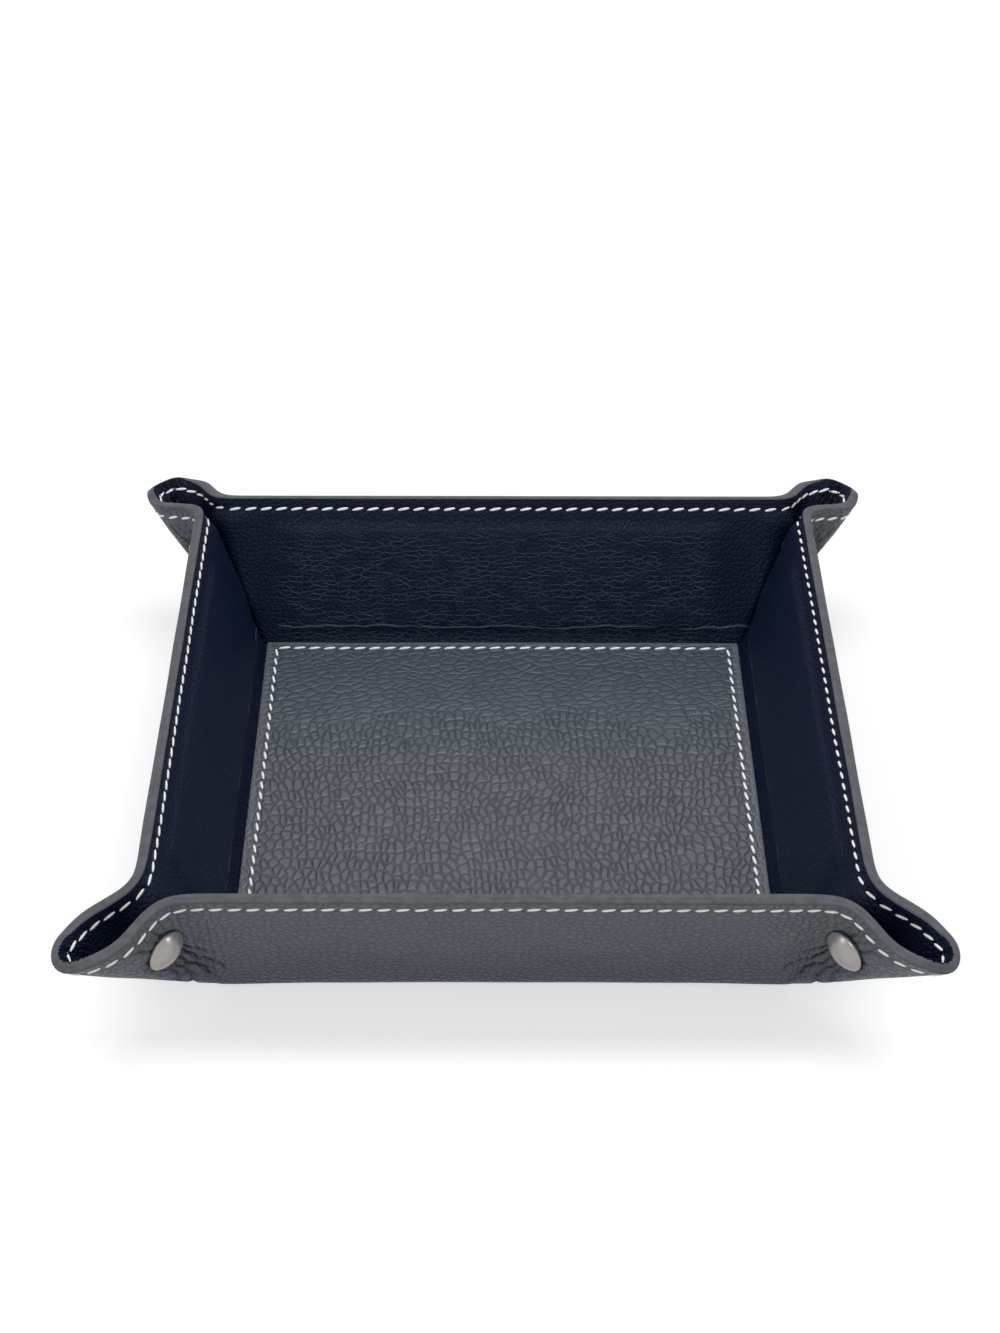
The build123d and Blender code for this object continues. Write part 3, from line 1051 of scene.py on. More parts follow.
class NodeTree:
    """A node tree, with short calls for what the finishes and the studio repeat."""

    def __init__(self, tree: bpy.types.NodeTree) -> None:
        """Take a tree and empty it."""
        self.nodes, self.links = tree.nodes, tree.links
        self.nodes.clear()

    def node(
        self, kind: str, values: dict[str, object] | None = None, **settings: str
    ) -> bpy.types.Node:
        """Add a node with its socket values and its options.

        Args:
            kind: The node's type.
            values: Values of its sockets by name.
            **settings: Its options by name.

        Returns:
            The node.
        """
        made = self.nodes.new(kind)
        for option, choice in settings.items():
            setattr(made, option, choice)
        for socket, value in (values or {}).items():
            made.inputs[socket].default_value = value
        return made

    def link(self, start: Socket, end: Socket) -> None:
        """Join two sockets."""
        self.links.new(start, end)

    def feed(self, socket: Socket, value: object) -> None:
        """Give a socket a link or a plain value.

        Args:
            socket: The socket.
            value: A socket to link, or the value.
        """
        if isinstance(value, bpy.types.NodeSocket):
            self.link(value, socket)
        else:
            socket.default_value = value

    def uv(self, name: str) -> Socket:
        """Coordinates of one of the piece's own patterns."""
        return self.node("ShaderNodeUVMap", uv_map=name).outputs["UV"]

    def place(self) -> Socket:
        """Coordinates in the object's own space."""
        return self.node("ShaderNodeTexCoord").outputs["Object"]

    def parts(self, coords: Socket) -> bpy.types.bpy_prop_collection:
        """Split coordinates into their X, Y and Z.

        Args:
            coords: The coordinates.

        Returns:
            The three parts by name.
        """
        made = self.node("ShaderNodeSeparateXYZ")
        self.link(coords, made.inputs["Vector"])
        return made.outputs

    def clouds(
        self, coords: Socket, scale: float, detail: float, roughness: float = 0.5
    ) -> bpy.types.Node:
        """Add a cloudy pattern and give its node.

        Args:
            coords: The pattern's coordinates.
            scale: How dense the clouds are.
            detail: How many finer clouds are added.
            roughness: How strong the finer ones are.

        Returns:
            The node.
        """
        values = {"Scale": scale, "Detail": detail, "Roughness": roughness}
        made = self.node("ShaderNodeTexNoise", values)
        self.link(coords, made.inputs["Vector"])
        return made

    def noise(
        self, coords: Socket, scale: float, detail: float, roughness: float = 0.5
    ) -> Socket:
        """Add a cloudy pattern and give its value."""
        return self.clouds(coords, scale, detail, roughness).outputs["Fac"]

    def bent(
        self, coords: Socket, scale: float, detail: float, reach: tuple[float, float, float]
    ) -> Socket:
        """Shift coordinates by a cloudy pattern, so that what follows them wavers.

        Args:
            coords: The even coordinates.
            scale: How dense the clouds are.
            detail: How many finer clouds are added.
            reach: The largest shift along each axis.

        Returns:
            The wavering coordinates.
        """
        shift = self.node("ShaderNodeVectorMath", operation="MULTIPLY_ADD")
        self.link(self.clouds(coords, scale, detail).outputs["Color"], shift.inputs[0])
        shift.inputs[1].default_value = reach
        self.link(coords, shift.inputs[2])
        return shift.outputs["Vector"]

    def maths(self, operation: str, *values: object) -> Socket:
        """Add one arithmetic step and give its result.

        Args:
            operation: Name of the step.
            *values: Its links or plain values.

        Returns:
            The result.
        """
        made = self.node("ShaderNodeMath", operation=operation)
        for socket, value in zip(made.inputs, values):
            self.feed(socket, value)
        return made.outputs["Value"]

    def times(self, first: object, second: object) -> Socket:
        """Multiply two values."""
        return self.maths("MULTIPLY", first, second)

    def rest(self, share: Socket) -> Socket:
        """What a share leaves of the whole."""
        return self.maths("SUBTRACT", 1.0, share)

    def ramp(self, value: Socket, low: float, high: float) -> Socket:
        """Ease a value from 0 at low to 1 at high.

        Args:
            value: The value.
            low: Where it starts to rise.
            high: Where it is full.

        Returns:
            The eased value.
        """
        made = self.node(
            "ShaderNodeMapRange", {"From Min": low, "From Max": high},
            interpolation_type="SMOOTHSTEP",
        )
        self.link(value, made.inputs["Value"])
        return made.outputs["Result"]

    def mix(self, first: object, second: object, share: object) -> Socket:
        """Mix two colours by a share.

        Args:
            first: Colour where the share is 0.
            second: Colour where it is 1.
            share: The share.

        Returns:
            The mixed colour.
        """
        made = self.node("ShaderNodeMix", data_type="RGBA")
        for index, value in ((0, share), (6, first), (7, second)):
            self.feed(made.inputs[index], value)
        return made.outputs[2]


class Shader(NodeTree):
    """A material's node tree, which ends in one Principled shader."""

    def __init__(self, name: str) -> None:
        """Start the material.

        Args:
            name: The material's name.
        """
        self.material = bpy.data.materials.new(name)
        self.material.use_nodes = True
        super().__init__(self.material.node_tree)
        output = self.node("ShaderNodeOutputMaterial")
        self.surface = self.node("ShaderNodeBsdfPrincipled")
        self.link(self.surface.outputs["BSDF"], output.inputs["Surface"])

    def bump(self, height: Socket, strength: float, distance: float) -> None:
        """Raise the surface by a height pattern.

        Args:
            height: The pattern.
            strength: How strongly it shows.
            distance: How far it stands up.
        """
        made = self.node("ShaderNodeBump", {"Strength": strength, "Distance": distance})
        self.link(height, made.inputs["Height"])
        self.link(made.outputs["Normal"], self.surface.inputs["Normal"])

    def finish(
        self, colour: object, roughness: object, specular: float = 0.5, metallic: float = 0.0
    ) -> None:
        """Set the surface's colour, roughness, specular level and metalness.

        Args:
            colour: A link or a plain colour.
            roughness: A link or a plain value.
            specular: The specular level.
            metallic: The metalness.
        """
        self.feed(self.surface.inputs["Base Color"], colour)
        self.feed(self.surface.inputs["Roughness"], roughness)
        self.surface.inputs["Specular IOR Level"].default_value = specular
        self.surface.inputs["Metallic"].default_value = metallic


class Palette:
    """The tray's finishes, each made into a material once."""

    def __init__(self) -> None:
        """Build every material."""
        self.outer = LeatherFinish(
            "outer_leather_pebbled", "52575d", "1f2226", "4b515a", cell=2.4 * MM, low_tone="39404c",
            depth=0.4 * MM, roughness=0.46, crease_share=0.26,
        ).material()
        lining = LeatherFinish(
            "lining_leather_navy", "051126", "02040a", "07162f", cell=1.8 * MM,
            depth=0.22 * MM, roughness=0.5, specular=0.15, crease_share=0.4,
            pebble_share=0.75, fold_line=True,
        )
        self.lining = lining.material()
        # Lit copy of the lining: stronger raised lines with their painted highlight, for the rear and
        # front walls.
        self.creased_lining = replace(
            lining, name="lining_leather_creased", ridge_depth=0.9
        ).material()
        self.panel = LeatherFinish(
            "panel_leather_pebbled", "4e545a", "15191d", "494f57", cell=2.35 * MM,
            depth=0.4 * MM, roughness=0.42, specular=0.45, stretch=1.8, crease_share=0.85,
            flow=9.0 * MM, panel_seam=75.0 * MM,
        ).material()
        self.edge = EdgeFinish("burnished_edge", "585a5f", "4a4c50").material()
        self.thread = ThreadFinish("white_thread", "ffffff", "f0f0ee").material()
        self.cap = MetalFinish("snap_cap_lacquer", "9f9a95", "a8a39e", 0.4, 0.22).material()
        self.snap = MetalFinish("snap_inner_metal", "5b5956", "6c6a66", 0.85, 0.38).material()
        self.board = BoardFinish("pressed_board", "8b8478", "a39c8f").material()

    def leather(self, layer: Layer, name: str) -> bpy.types.Material:
        """The leather of a piece of the shell; the rear and front lining get raised lines with a
        painted highlight, where the light catches them.

        Args:
            layer: Which of the two layers.
            name: The piece's name.

        Returns:
            The material.
        """
        if layer is Layer.OUTER:
            return self.outer
        catches_light = name.startswith((Wall.REAR.label, Wall.FRONT.label))
        return self.creased_lining if catches_light else self.lining


def coordinates(bm: bmesh.types.BMesh) -> np.ndarray:
    """Coordinates of all the mesh's vertices."""
    return np.array([v.co for v in bm.verts], float).reshape(-1, 3)


def move_to(bm: bmesh.types.BMesh, places: np.ndarray) -> None:
    """Put the mesh's vertices at new places, in their order."""
    for vertex, place in zip(bm.verts, places):
        vertex.co = place


def thicken(bm: bmesh.types.BMesh, height: float) -> None:
    """Give a flat sheet a second face at a height over the first, and its sides.

    Args:
        bm: The mesh.
        height: Height of the second face.
    """
    raised = bmesh.ops.extrude_face_region(bm, geom=bm.faces[:], use_keep_orig=True)
    lifted = [g for g in raised["geom"] if isinstance(g, bmesh.types.BMVert)]
    bmesh.ops.translate(bm, verts=lifted, vec=(0, 0, height))


def round_edges(bm: bmesh.types.BMesh, edges: list[bmesh.types.BMEdge], offset: float) -> None:
    """Round edges of a mesh in three steps.

    Args:
        bm: The mesh.
        edges: The edges.
        offset: How far they are cut back.
    """
    bmesh.ops.bevel(
        bm, geom=edges, offset=offset, segments=3, profile=0.5, affect="EDGES", material=-1
    )


def lay_pattern(bm: bmesh.types.BMesh, name: str, turn: np.ndarray) -> None:
    """Give a flat piece its pattern's coordinates, in metres over the sheet.

    Args:
        bm: The piece, still flat.
        name: Name of the UV map.
        turn: Turn of the sheet before the pattern is laid on it.
    """
    pattern = bm.loops.layers.uv.new(name)
    places = coordinates(bm)
    laid = (places[:, :2] @ turn.T + places[:, 2:]).tolist()
    bm.verts.index_update()
    for face in bm.faces:
        for loop in face.loops:
            loop[pattern].uv = laid[loop.vert.index]


def to_object(
    bm: bmesh.types.BMesh, name: str, materials: list[bpy.types.Material], sharp: float = 50.0
) -> bpy.types.Object:
    """Make a smooth-shaded object with outward faces from a finished mesh.

    Args:
        bm: The mesh, which is freed.
        name: The piece's name.
        materials: The materials, in the order of the faces' indexes.
        sharp: Angle in degrees past which an edge stays crisp.

    Returns:
        The linked object.
    """
    bmesh.ops.recalc_face_normals(bm, faces=bm.faces)
    for face in bm.faces:
        face.smooth = True
    mesh = bpy.data.meshes.new(name)
    bm.to_mesh(mesh)
    bm.free()
    mesh.set_sharp_from_angle(angle=math.radians(sharp))
    for material in materials:
        mesh.materials.append(material)
    made = bpy.data.objects.new(name, mesh)
    bpy.context.scene.collection.objects.link(made)
    return made


@dataclass
class LeatherShell:
    """The folded leather: base, walls and pinched corners, in an outer layer and a lining."""

    sheet: FoldedSheet
    palette: Palette
    fold_reach: float = 6.65 * MM
    neck_reach: float = 6.5 * MM
    tip_reach: float = 3.0 * MM
    edge_round: float = 0.6 * MM
    edge_width: float = 0.45 * MM
    layer_gap: float = 0.02 * MM
    fine_strip: float = 7.8 * MM
    extra_rows: tuple[float, ...] = (0.8 * MM, 2.4 * MM, 4.0 * MM)
    neck_point: float = 30.0 * MM
    tip_point: float = 40.0 * MM
    base_cells: tuple[int, int] = (72, 72)
    wall_columns: int = 92
    leaf_columns: int = 62
    tip_columns: int = 26

    def __post_init__(self) -> None:
        """Work out the rows that every piece shares from the fold to the rim."""
        top = self.sheet.slant
        rows = [
            np.linspace(-self.fold_reach, 0, 9)[:-1],
            np.linspace(0, top - self.fine_strip, 33),
            np.linspace(top - self.fine_strip, top, 15)[1:],
            self.extra_rows,
        ]
        self.fold_rows = np.unique(np.concatenate(rows))
        self.rise_rows = self.fold_rows[self.fold_rows >= 0]

    def wall_outline(self, across: np.ndarray, along: np.ndarray) -> np.ndarray:
        """Flat points of the rear wall, with the strip of the base that bends into it.

        Args:
            across: Shares across the piece, from 0 to 1.
            along: Shares along the piece, from 0 to 1.

        Returns:
            Flat points, one for each pair of shares.
        """
        s = self.sheet
        rise = read_at(along, self.fold_rows)
        half = s.fold_half - self.fold_reach + np.maximum(rise, 0) * math.tan(s.neck)
        return np.stack([(2 * across - 1) * half, s.fold_half + rise], axis=1)

    def _rim_points(self, count: int, start: float, end: float) -> np.ndarray:
        """Even points of the rim between two distances along it from the wall's end.

        Args:
            count: How many points.
            start: Distance along the rim at the first.
            end: Distance along the rim at the last.

        Returns:
            Flat points from the corner of the base.
        """
        s = self.sheet
        straight = s.slant - s.corner_radius
        steps = np.linspace(start, end, count)
        turn = np.maximum(steps - straight, 0) / s.corner_radius
        x = np.minimum(steps, straight) + s.corner_radius * np.sin(turn)
        y = straight + s.corner_radius * np.cos(turn)
        return np.stack([x, y], axis=1)

    def _tip_line_on_rim(self) -> float:
        """Distance along the rim at which the line between leaf and tip meets it.

        Returns:
            The distance from the wall's end.
        """
        s = self.sheet
        low, high = s.slant - s.corner_radius, s.slant
        normal = np.array([-math.cos(s.tip), math.sin(s.tip)])
        for _ in range(50):
            middle = (low + high) / 2
            point = self._rim_points(1, middle, middle)[0]
            low, high = (middle, high) if point @ normal > self.tip_reach else (low, middle)
        return low

    def leaf_outline(self, across: np.ndarray, along: np.ndarray) -> np.ndarray:
        """Flat points of the cap's leaf at the rear right, from the wall to the tip.

        Args:
            across: Shares across the piece, from 0 to 1.
            along: Shares along the piece, from 0 to 1.

        Returns:
            Flat points, one for each pair of shares.
        """
        s = self.sheet
        start = s.slant * math.tan(s.neck) - self.fold_reach
        top = self._rim_points(61, start, self._tip_line_on_rim())
        bottom_end = -self.tip_reach / math.cos(s.tip)
        return self._between(across, along, top, -self.fold_reach, bottom_end)

    def tip_outline(self, across: np.ndarray, along: np.ndarray) -> np.ndarray:
        """Flat points of the cap's tip at the rear right, from the leaf to the ridge.

        Args:
            across: Shares across the piece, from 0 to 1.
            along: Shares along the piece, from 0 to 1.

        Returns:
            Flat points, one for each pair of shares.
        """
        s = self.sheet
        ridge = s.slant - s.corner_radius + s.corner_radius * math.pi / 4
        top = self._rim_points(31, self._tip_line_on_rim(), ridge)
        return self._between(across, along, top, -self.tip_reach / math.cos(s.tip), 0.0)

    def _between(
        self, across: np.ndarray, along: np.ndarray, top: np.ndarray, start: float, end: float
    ) -> np.ndarray:
        """Flat points between a stretch of the fold line and a stretch of the rim.

        Args:
            across: Shares across the piece, from 0 to 1.
            along: Shares along the piece, from 0 to 1.
            top: Points of the rim from the base's corner.
            start: The fold line's start.
            end: The fold line's end.

        Returns:
            Flat points, one for each pair of shares.
        """
        s = self.sheet
        foot_x = start + (end - start) * across
        rise = read_at(along, self.rise_rows) / s.slant
        x = foot_x + (read_at(across, top[:, 0]) - foot_x) * rise
        y = read_at(across, top[:, 1]) * rise
        return np.stack([x + s.fold_half, y + s.fold_half], axis=1)

    def base_outline(self, across: np.ndarray, along: np.ndarray) -> np.ndarray:
        """Flat points of the base, with a line where each wall's strip starts.

        Args:
            across: Shares across the piece, from 0 to 1.
            along: Shares along the piece, from 0 to 1.

        Returns:
            Flat points, one for each pair of shares.
        """
        s = self.sheet
        inner = s.fold_half - self.fold_reach
        border = np.linspace(inner, s.fold_half, 7)
        values = np.concatenate([-border[::-1], np.linspace(-inner, inner, 61)[1:-1], border])
        return np.stack([read_at(across, values), read_at(along, values)], axis=1)

    def build(
        self,
        name: str,
        layer: Layer,
        outline: Callable[[np.ndarray, np.ndarray], np.ndarray],
        cells: tuple[int, int],
        turn: np.ndarray,
        wall_turn: np.ndarray,
        corners_only: bool = False,
    ) -> bpy.types.Object:
        """Build one layer of one stretch of the shell, flat at first and then folded.

        Args:
            name: The piece's name.
            layer: Which of the two layers it is.
            outline: Where the unit square's points lie on the flat sheet.
            cells: Number of cells across and along.
            turn: Turn or mirroring of the flat sheet to the piece's own place.
            wall_turn: Turn of the flat sheet that lays the piece's wall level.
            corners_only: Whether the four strips beside the base are left out.

        Returns:
            The folded piece.
        """
        s = self.sheet
        bm = bmesh.new()
        bmesh.ops.create_grid(bm, x_segments=cells[0], y_segments=cells[1], size=1.0)
        unit_square = (coordinates(bm)[:, :2] + 1) / 2
        flat = outline(unit_square[:, 0], unit_square[:, 1]) @ turn.T
        inner, outer = sorted((layer.value * self.layer_gap, layer.value * s.ply))
        move_to(bm, np.column_stack([flat, np.full(len(flat), inner)]))
        if corners_only:
            edge = s.fold_half - self.fold_reach
            strips = [f for f in bm.faces if self._in_strip(f.calc_center_median(), edge)]
            bmesh.ops.delete(bm, geom=strips, context="FACES")
        thicken(bm, outer - inner)
        self._round_rim(bm, layer)
        self._dress(bm, wall_turn)
        flat_places = coordinates(bm)
        # Depth of the ear's creases, which the leather's material turns into painted shade.
        pressed = s.ear_creases(flat_places[:, 0], flat_places[:, 1], layer) / MM
        move_to(bm, s.fold(flat_places, layer))
        dress = self.palette.leather(layer, name)
        made = to_object(bm, name, [dress, self.palette.edge])
        press = made.data.attributes.new(PRESS, "FLOAT", "POINT")
        press.data.foreach_set("value", pressed.astype(np.float32))
        return made

    @staticmethod
    def _in_strip(middle: Vector, edge: float) -> bool:
        """Whether a face of the base lies in a strip that belongs to a wall."""
        return (abs(middle.x) > edge) != (abs(middle.y) > edge)

    def _round_rim(self, bm: bmesh.types.BMesh, layer: Layer) -> None:
        """Round the rim's edge on the side that shows.

        Args:
            bm: The piece, still flat.
            layer: Which of the two layers.
        """
        s = self.sheet
        face = layer.value * s.ply
        rim = []
        for edge in bm.edges:
            level = all(abs(v.co.z - face) < 1e-6 for v in edge.verts)
            if level and len(edge.link_faces) == 2:
                points = np.array([v.co[:2] for v in edge.verts])
                if np.all(s.rim_gap(points[:, 0], points[:, 1]) < 1e-5):
                    rim.append(edge)
        if rim:
            round_edges(bm, rim, self.edge_round)

    def _dress(self, bm: bmesh.types.BMesh, wall_turn: np.ndarray) -> None:
        """Lay the two patterns over the flat piece and mark its cut edge.

        Args:
            bm: The piece, still flat.
            wall_turn: Turn of the flat sheet that lays the piece's wall level.
        """
        lay_pattern(bm, FLAT_UV, np.eye(2))
        lay_pattern(bm, WALL_UV, wall_turn)
        middles = np.array([face.calc_center_median() for face in bm.faces])
        gaps = self.sheet.rim_gap(middles[:, 0], middles[:, 1])
        for face, gap in zip(bm.faces, gaps):
            face.material_index = int(gap < self.edge_width)

    def base(self) -> None:
        """Build the two layers of the base."""
        for layer, node in ((Layer.OUTER, "base_outer_leather"), (Layer.LINING, "base_lining")):
            made = self.build(
                f"{node}_skin", layer, self.base_outline, self.base_cells, np.eye(2), np.eye(2),
                corners_only=True,
            )
            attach(made, "base")
            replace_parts(made, node)

    def wall(self, wall: Wall) -> None:
        """Build the two layers of a wall, which bend out of the base.

        Args:
            wall: Which wall.
        """
        s = self.sheet
        turn = flat_turn(wall)
        start = space(turn) @ np.array([0, s.fold_half - self.fold_reach, s.fold_height])
        end = np.array([0, s.fold_half, s.fold_height]) + s.up * self.fold_reach
        end = space(turn) @ end
        for layer, node in ((Layer.OUTER, "outer_leather"), (Layer.LINING, "lining")):
            made = self.build(
                f"{wall.label}_{node}_skin", layer, self.wall_outline,
                (self.wall_columns, len(self.fold_rows) - 1), turn, turn.T,
            )
            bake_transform(made)
            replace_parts(made, f"{wall.label}_{node}")

    def ear(self, corner: Corner, half: Half) -> None:
        """Build the leaf and the tip of one half of an ear, in two layers each.

        Args:
            corner: The ear's corner.
            half: Which half of the ear.
        """
        turn, wall_turn = flat_corner(corner, half), flat_turn(wall_of(corner, half)).T
        rows = len(self.rise_rows) - 1
        parts = (
            ("leaf", self.leaf_outline, self.leaf_columns),
            ("tip", self.tip_outline, self.tip_columns),
        )
        for part, outline, columns in parts:
            for layer in Layer:
                name = f"{corner.label}_{half.value}_{part}_{layer.name.lower()}"
                made = self.build(name, layer, outline, (columns, rows), turn, wall_turn)
                self.blend_ear(made, corner, half, part)
                if layer is Layer.OUTER:
                    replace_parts(made, f"{corner.label}_{half.value}_{part}")

    def blend_ear(self, made: bpy.types.Object, corner: Corner, half: Half, part: str) -> None:
        """Bake a piece of an ear into place; the bend where its stretch starts is worked out, but
        nothing is blended over it.

        Args:
            made: The piece.
            corner: The ear's corner.
            half: Which half of the ear it is on.
            part: The stretch, leaf or tip.
        """
        s = self.sheet
        if part == "leaf":
            middle, before, after = s.neck_ray * self.neck_point, s.neck_along, s.leaf_along
        else:
            middle, before, after = s.tip_ray * self.tip_point, s.leaf_end_along, s.tip_along
        middle = s.apex + middle
        turn = space(flat_corner(corner, half))
        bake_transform(made)


def wall_of(corner: Corner, half: Half) -> Wall:
    """The wall that a half of an ear belongs to.

    Args:
        corner: The ear's corner.
        half: Which half of the ear.

    Returns:
        The wall.
    """
    if half is Half.CAP:
        return Wall.REAR if corner.value[1] > 0 else Wall.FRONT
    return Wall.RIGHT if corner.value[0] > 0 else Wall.LEFT


def half_bodies(corner: Corner, half: Half) -> tuple[str, str]:
    """Names of the bodies of a half of an ear and of its closed end."""
    return f"{corner.label}_{half.value}_half", f"{corner.label}_{half.value}_end"


@dataclass
class BasePanel:
    """The raised, sewn-down panel of pebbled leather on the base."""

    sheet: FoldedSheet
    palette: Palette
    margin: float = 2.05 * MM
    thick: float = 1.5 * MM
    corner_round: float = 0.48 * MM
    edge_round: float = 0.385 * MM
    stitch_inset: float = 3.5 * MM
    fine_strip: float = 7.0 * MM
    groove_width: float = 0.9 * MM
    groove_depth: float = 0.24 * MM
    border_width: float = 1.8 * MM
    border_drop: float = 0.22 * MM
    waves: tuple[tuple[float, float, float], ...] = (
        (61, 17, 0.3), (-29, 83, 2.1), (113, 67, 4.0), (151, -97, 1.2),
    )
    wave_height: float = 0.05 * MM

    def __post_init__(self) -> None:
        """Work out the panel's size and level."""
        self.half = self.sheet.fold_half - self.margin
        self.floor = 2 * self.sheet.ply + self.sheet.board
        self.seam = self.half - self.stitch_inset

    def surface(self, x: np.ndarray, y: np.ndarray) -> np.ndarray:
        """Height of the panel's face over its even level.

        Args:
            x: Flat X of the points.
            y: Flat Y of the points.

        Returns:
            The height, negative where the face sinks in.
        """
        reach = np.maximum(np.abs(x), np.abs(y))
        groove = bell(reach - self.seam, self.groove_width)
        turned_down = eased(reach, self.half - self.border_width, self.border_width)
        uneven = ripple(x, y, self.waves) * self.wave_height
        return uneven - self.groove_depth * groove - self.border_drop * turned_down

    def build(self) -> bpy.types.Object:
        """Build the panel with a rounded edge and the groove that its seam pulls in.

        Returns:
            The panel.
        """
        bm = bmesh.new()
        bmesh.ops.create_grid(bm, x_segments=112, y_segments=112, size=1.0)
        plain = self.half - self.fine_strip
        border = np.linspace(plain, self.half, 15)
        values = np.concatenate([-border[::-1], np.linspace(-plain, plain, 85)[1:-1], border])
        share = (coordinates(bm)[:, :2] + 1) / 2
        flat = np.column_stack([read_at(share[:, k], values) for k in (0, 1)])
        move_to(bm, np.column_stack([flat, np.zeros(len(flat))]))
        thicken(bm, self.thick)
        round_edges(bm, [e for e in bm.edges if self._is_corner(e)], self.corner_round)
        round_edges(bm, [e for e in bm.edges if self._is_top_border(e)], self.edge_round)
        lay_pattern(bm, FLAT_UV, np.eye(2))
        places = coordinates(bm)
        share = np.clip(places[:, 2] / self.thick, 0, 1)
        places[:, 2] += self.floor + share * self.surface(places[:, 0], places[:, 1])
        move_to(bm, places)
        made = to_object(bm, "base_panel_leather", [self.palette.panel])
        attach(made, "base")
        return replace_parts(made, "base_panel")

    def _is_corner(self, edge: bmesh.types.BMEdge) -> bool:
        """Whether an edge is one of the four upright corners."""
        return all(min(abs(v.co.x), abs(v.co.y)) > self.half - 1e-6 for v in edge.verts)

    def _is_top_border(self, edge: bmesh.types.BMEdge) -> bool:
        """Whether an edge runs round the top face.

        Args:
            edge: The edge.

        Returns:
            True for a border of the top face.
        """
        levels = [len([v for v in f.verts if v.co.z > self.thick - 1e-6]) for f in edge.link_faces]
        on_top = all(v.co.z > self.thick - 1e-6 for v in edge.verts)
        upright = [f for f in edge.link_faces if abs(f.normal.z) < 0.5]
        return on_top and len(levels) == 2 and len(upright) == 1


@dataclass
class Stitching:
    """White saddle stitches round the panel and along both faces of the rim."""

    sheet: FoldedSheet
    shell: LeatherShell
    panel: BasePanel
    palette: Palette
    pitch: float = 5.0 * MM
    length: float = 3.9 * MM
    width: float = 0.95 * MM
    height: float = 0.8 * MM
    slant: float = math.radians(11)
    panel_lift: float = 0.1 * MM
    rim_lift: float = 0.12 * MM

    def add(
        self, bm: bmesh.types.BMesh, place: np.ndarray, along: np.ndarray, normal: np.ndarray
    ) -> None:
        """Add one stitch, a rounded bar that dips into the leather at both ends.

        Args:
            bm: The mesh that collects the stitches.
            place: Point of the leather's face.
            along: Direction of the seam.
            normal: Direction out of the leather's face.
        """
        z_axis = Vector(normal).normalized()
        x_axis = Vector(along).normalized()
        x_axis = (x_axis - z_axis * x_axis.dot(z_axis)).normalized()
        x_axis = Matrix.Rotation(self.slant, 3, z_axis) @ x_axis
        y_axis = z_axis.cross(x_axis)
        scale = Matrix.Diagonal((self.length, self.width, self.height, 1))
        turn = Matrix((x_axis, y_axis, z_axis)).transposed().to_4x4()
        matrix = Matrix.Translation(Vector(place)) @ turn @ scale
        made = bmesh.ops.create_uvsphere(bm, u_segments=6, v_segments=7, radius=0.5)
        tip_up = Matrix.Rotation(math.pi / 2, 4, "Y")
        for vertex in made["verts"]:
            point = tip_up @ vertex.co
            point.x = 0.5 * math.copysign(abs(2 * point.x) ** 0.8, point.x)
            vertex.co = matrix @ point

    def panel_rows(self) -> None:
        """Sew the panel down along its four sides."""
        bm = bmesh.new()
        count = round(2 * self.panel.seam / self.pitch)
        spots = [self.pitch * (i - (count - 1) / 2) for i in range(count)]
        level = self.panel.floor + self.panel.thick
        for wall in Wall:
            turn = space(flat_turn(wall))
            for spot in spots:
                drop = self.panel.surface(np.array([spot]), np.array([self.panel.seam]))[0]
                place = turn @ np.array([spot, self.panel.seam, level + drop + self.panel_lift])
                self.add(bm, place, turn @ np.array([1.0, 0, 0]), np.array([0, 0, 1.0]))
        made = self._thread(bm, "base_panel_thread")
        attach(made, "base")
        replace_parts(made, "base_panel_stitching")

    def _thread(self, bm: bmesh.types.BMesh, name: str) -> bpy.types.Object:
        """Make the collected stitches of a seam into one piece."""
        return to_object(bm, name, [self.palette.thread], 180)

    def _seam_spots(self) -> list[tuple[np.ndarray, np.ndarray]]:
        """Middles and directions of the rim's stitches, from mid-wall to the ridge.

        Returns:
            The middle and the direction of each stitch on the flat sheet.
        """
        s = self.sheet
        straight = s.fold_half + s.slant - s.corner_radius
        radius = s.corner_radius - s.stitch_inset
        whole = straight + radius * math.pi / 4
        count = round(whole / self.pitch)
        spots = []
        for i in range(count):
            run = whole * (i + 0.5) / count
            turn = max(run - straight, 0) / radius
            x = min(run, straight) + radius * math.sin(turn)
            y = straight + radius * math.cos(turn)
            if turn == 0:
                y = s.fold_half + s.slant - s.stitch_inset
            spots.append((np.array([x, y]), np.array([math.cos(turn), -math.sin(turn)])))
        return spots

    def _part_of(self, spot: np.ndarray) -> str:
        """Which stretch of the shell a flat point of the rear right octant is on.

        Args:
            spot: The flat point.

        Returns:
            The stretch's name.
        """
        s, shell = self.sheet, self.shell
        x, y = spot - s.fold_half
        if x < y * math.tan(s.neck) - shell.fold_reach:
            return "wall"
        aside = y * math.sin(s.tip) - x * math.cos(s.tip)
        return "leaf" if aside > shell.tip_reach else "tip"

    def _sew(self, bm: bmesh.types.BMesh, turn: np.ndarray, part: str) -> None:
        """Add the stitches of one stretch, on both faces of the leather.

        Args:
            bm: The mesh that collects the stitches.
            turn: Turn or mirroring of the flat sheet to the stretch's own place.
            part: The stretch's name.
        """
        s = self.sheet
        for spot, heading in self._seam_spots():
            if self._part_of(spot) != part:
                continue
            here, ahead = turn @ spot, turn @ (spot + heading * 0.5 * MM)
            for layer in Layer:
                drop = s.relief(np.array([here[0]]), np.array([here[1]]), layer)[0]
                height = layer.value * (s.ply + drop + self.rim_lift)
                place, normal = s.frame_at(here[0], here[1], height)
                beyond, _ = s.frame_at(ahead[0], ahead[1], height)
                self.add(bm, place, beyond - place, normal * layer.value)

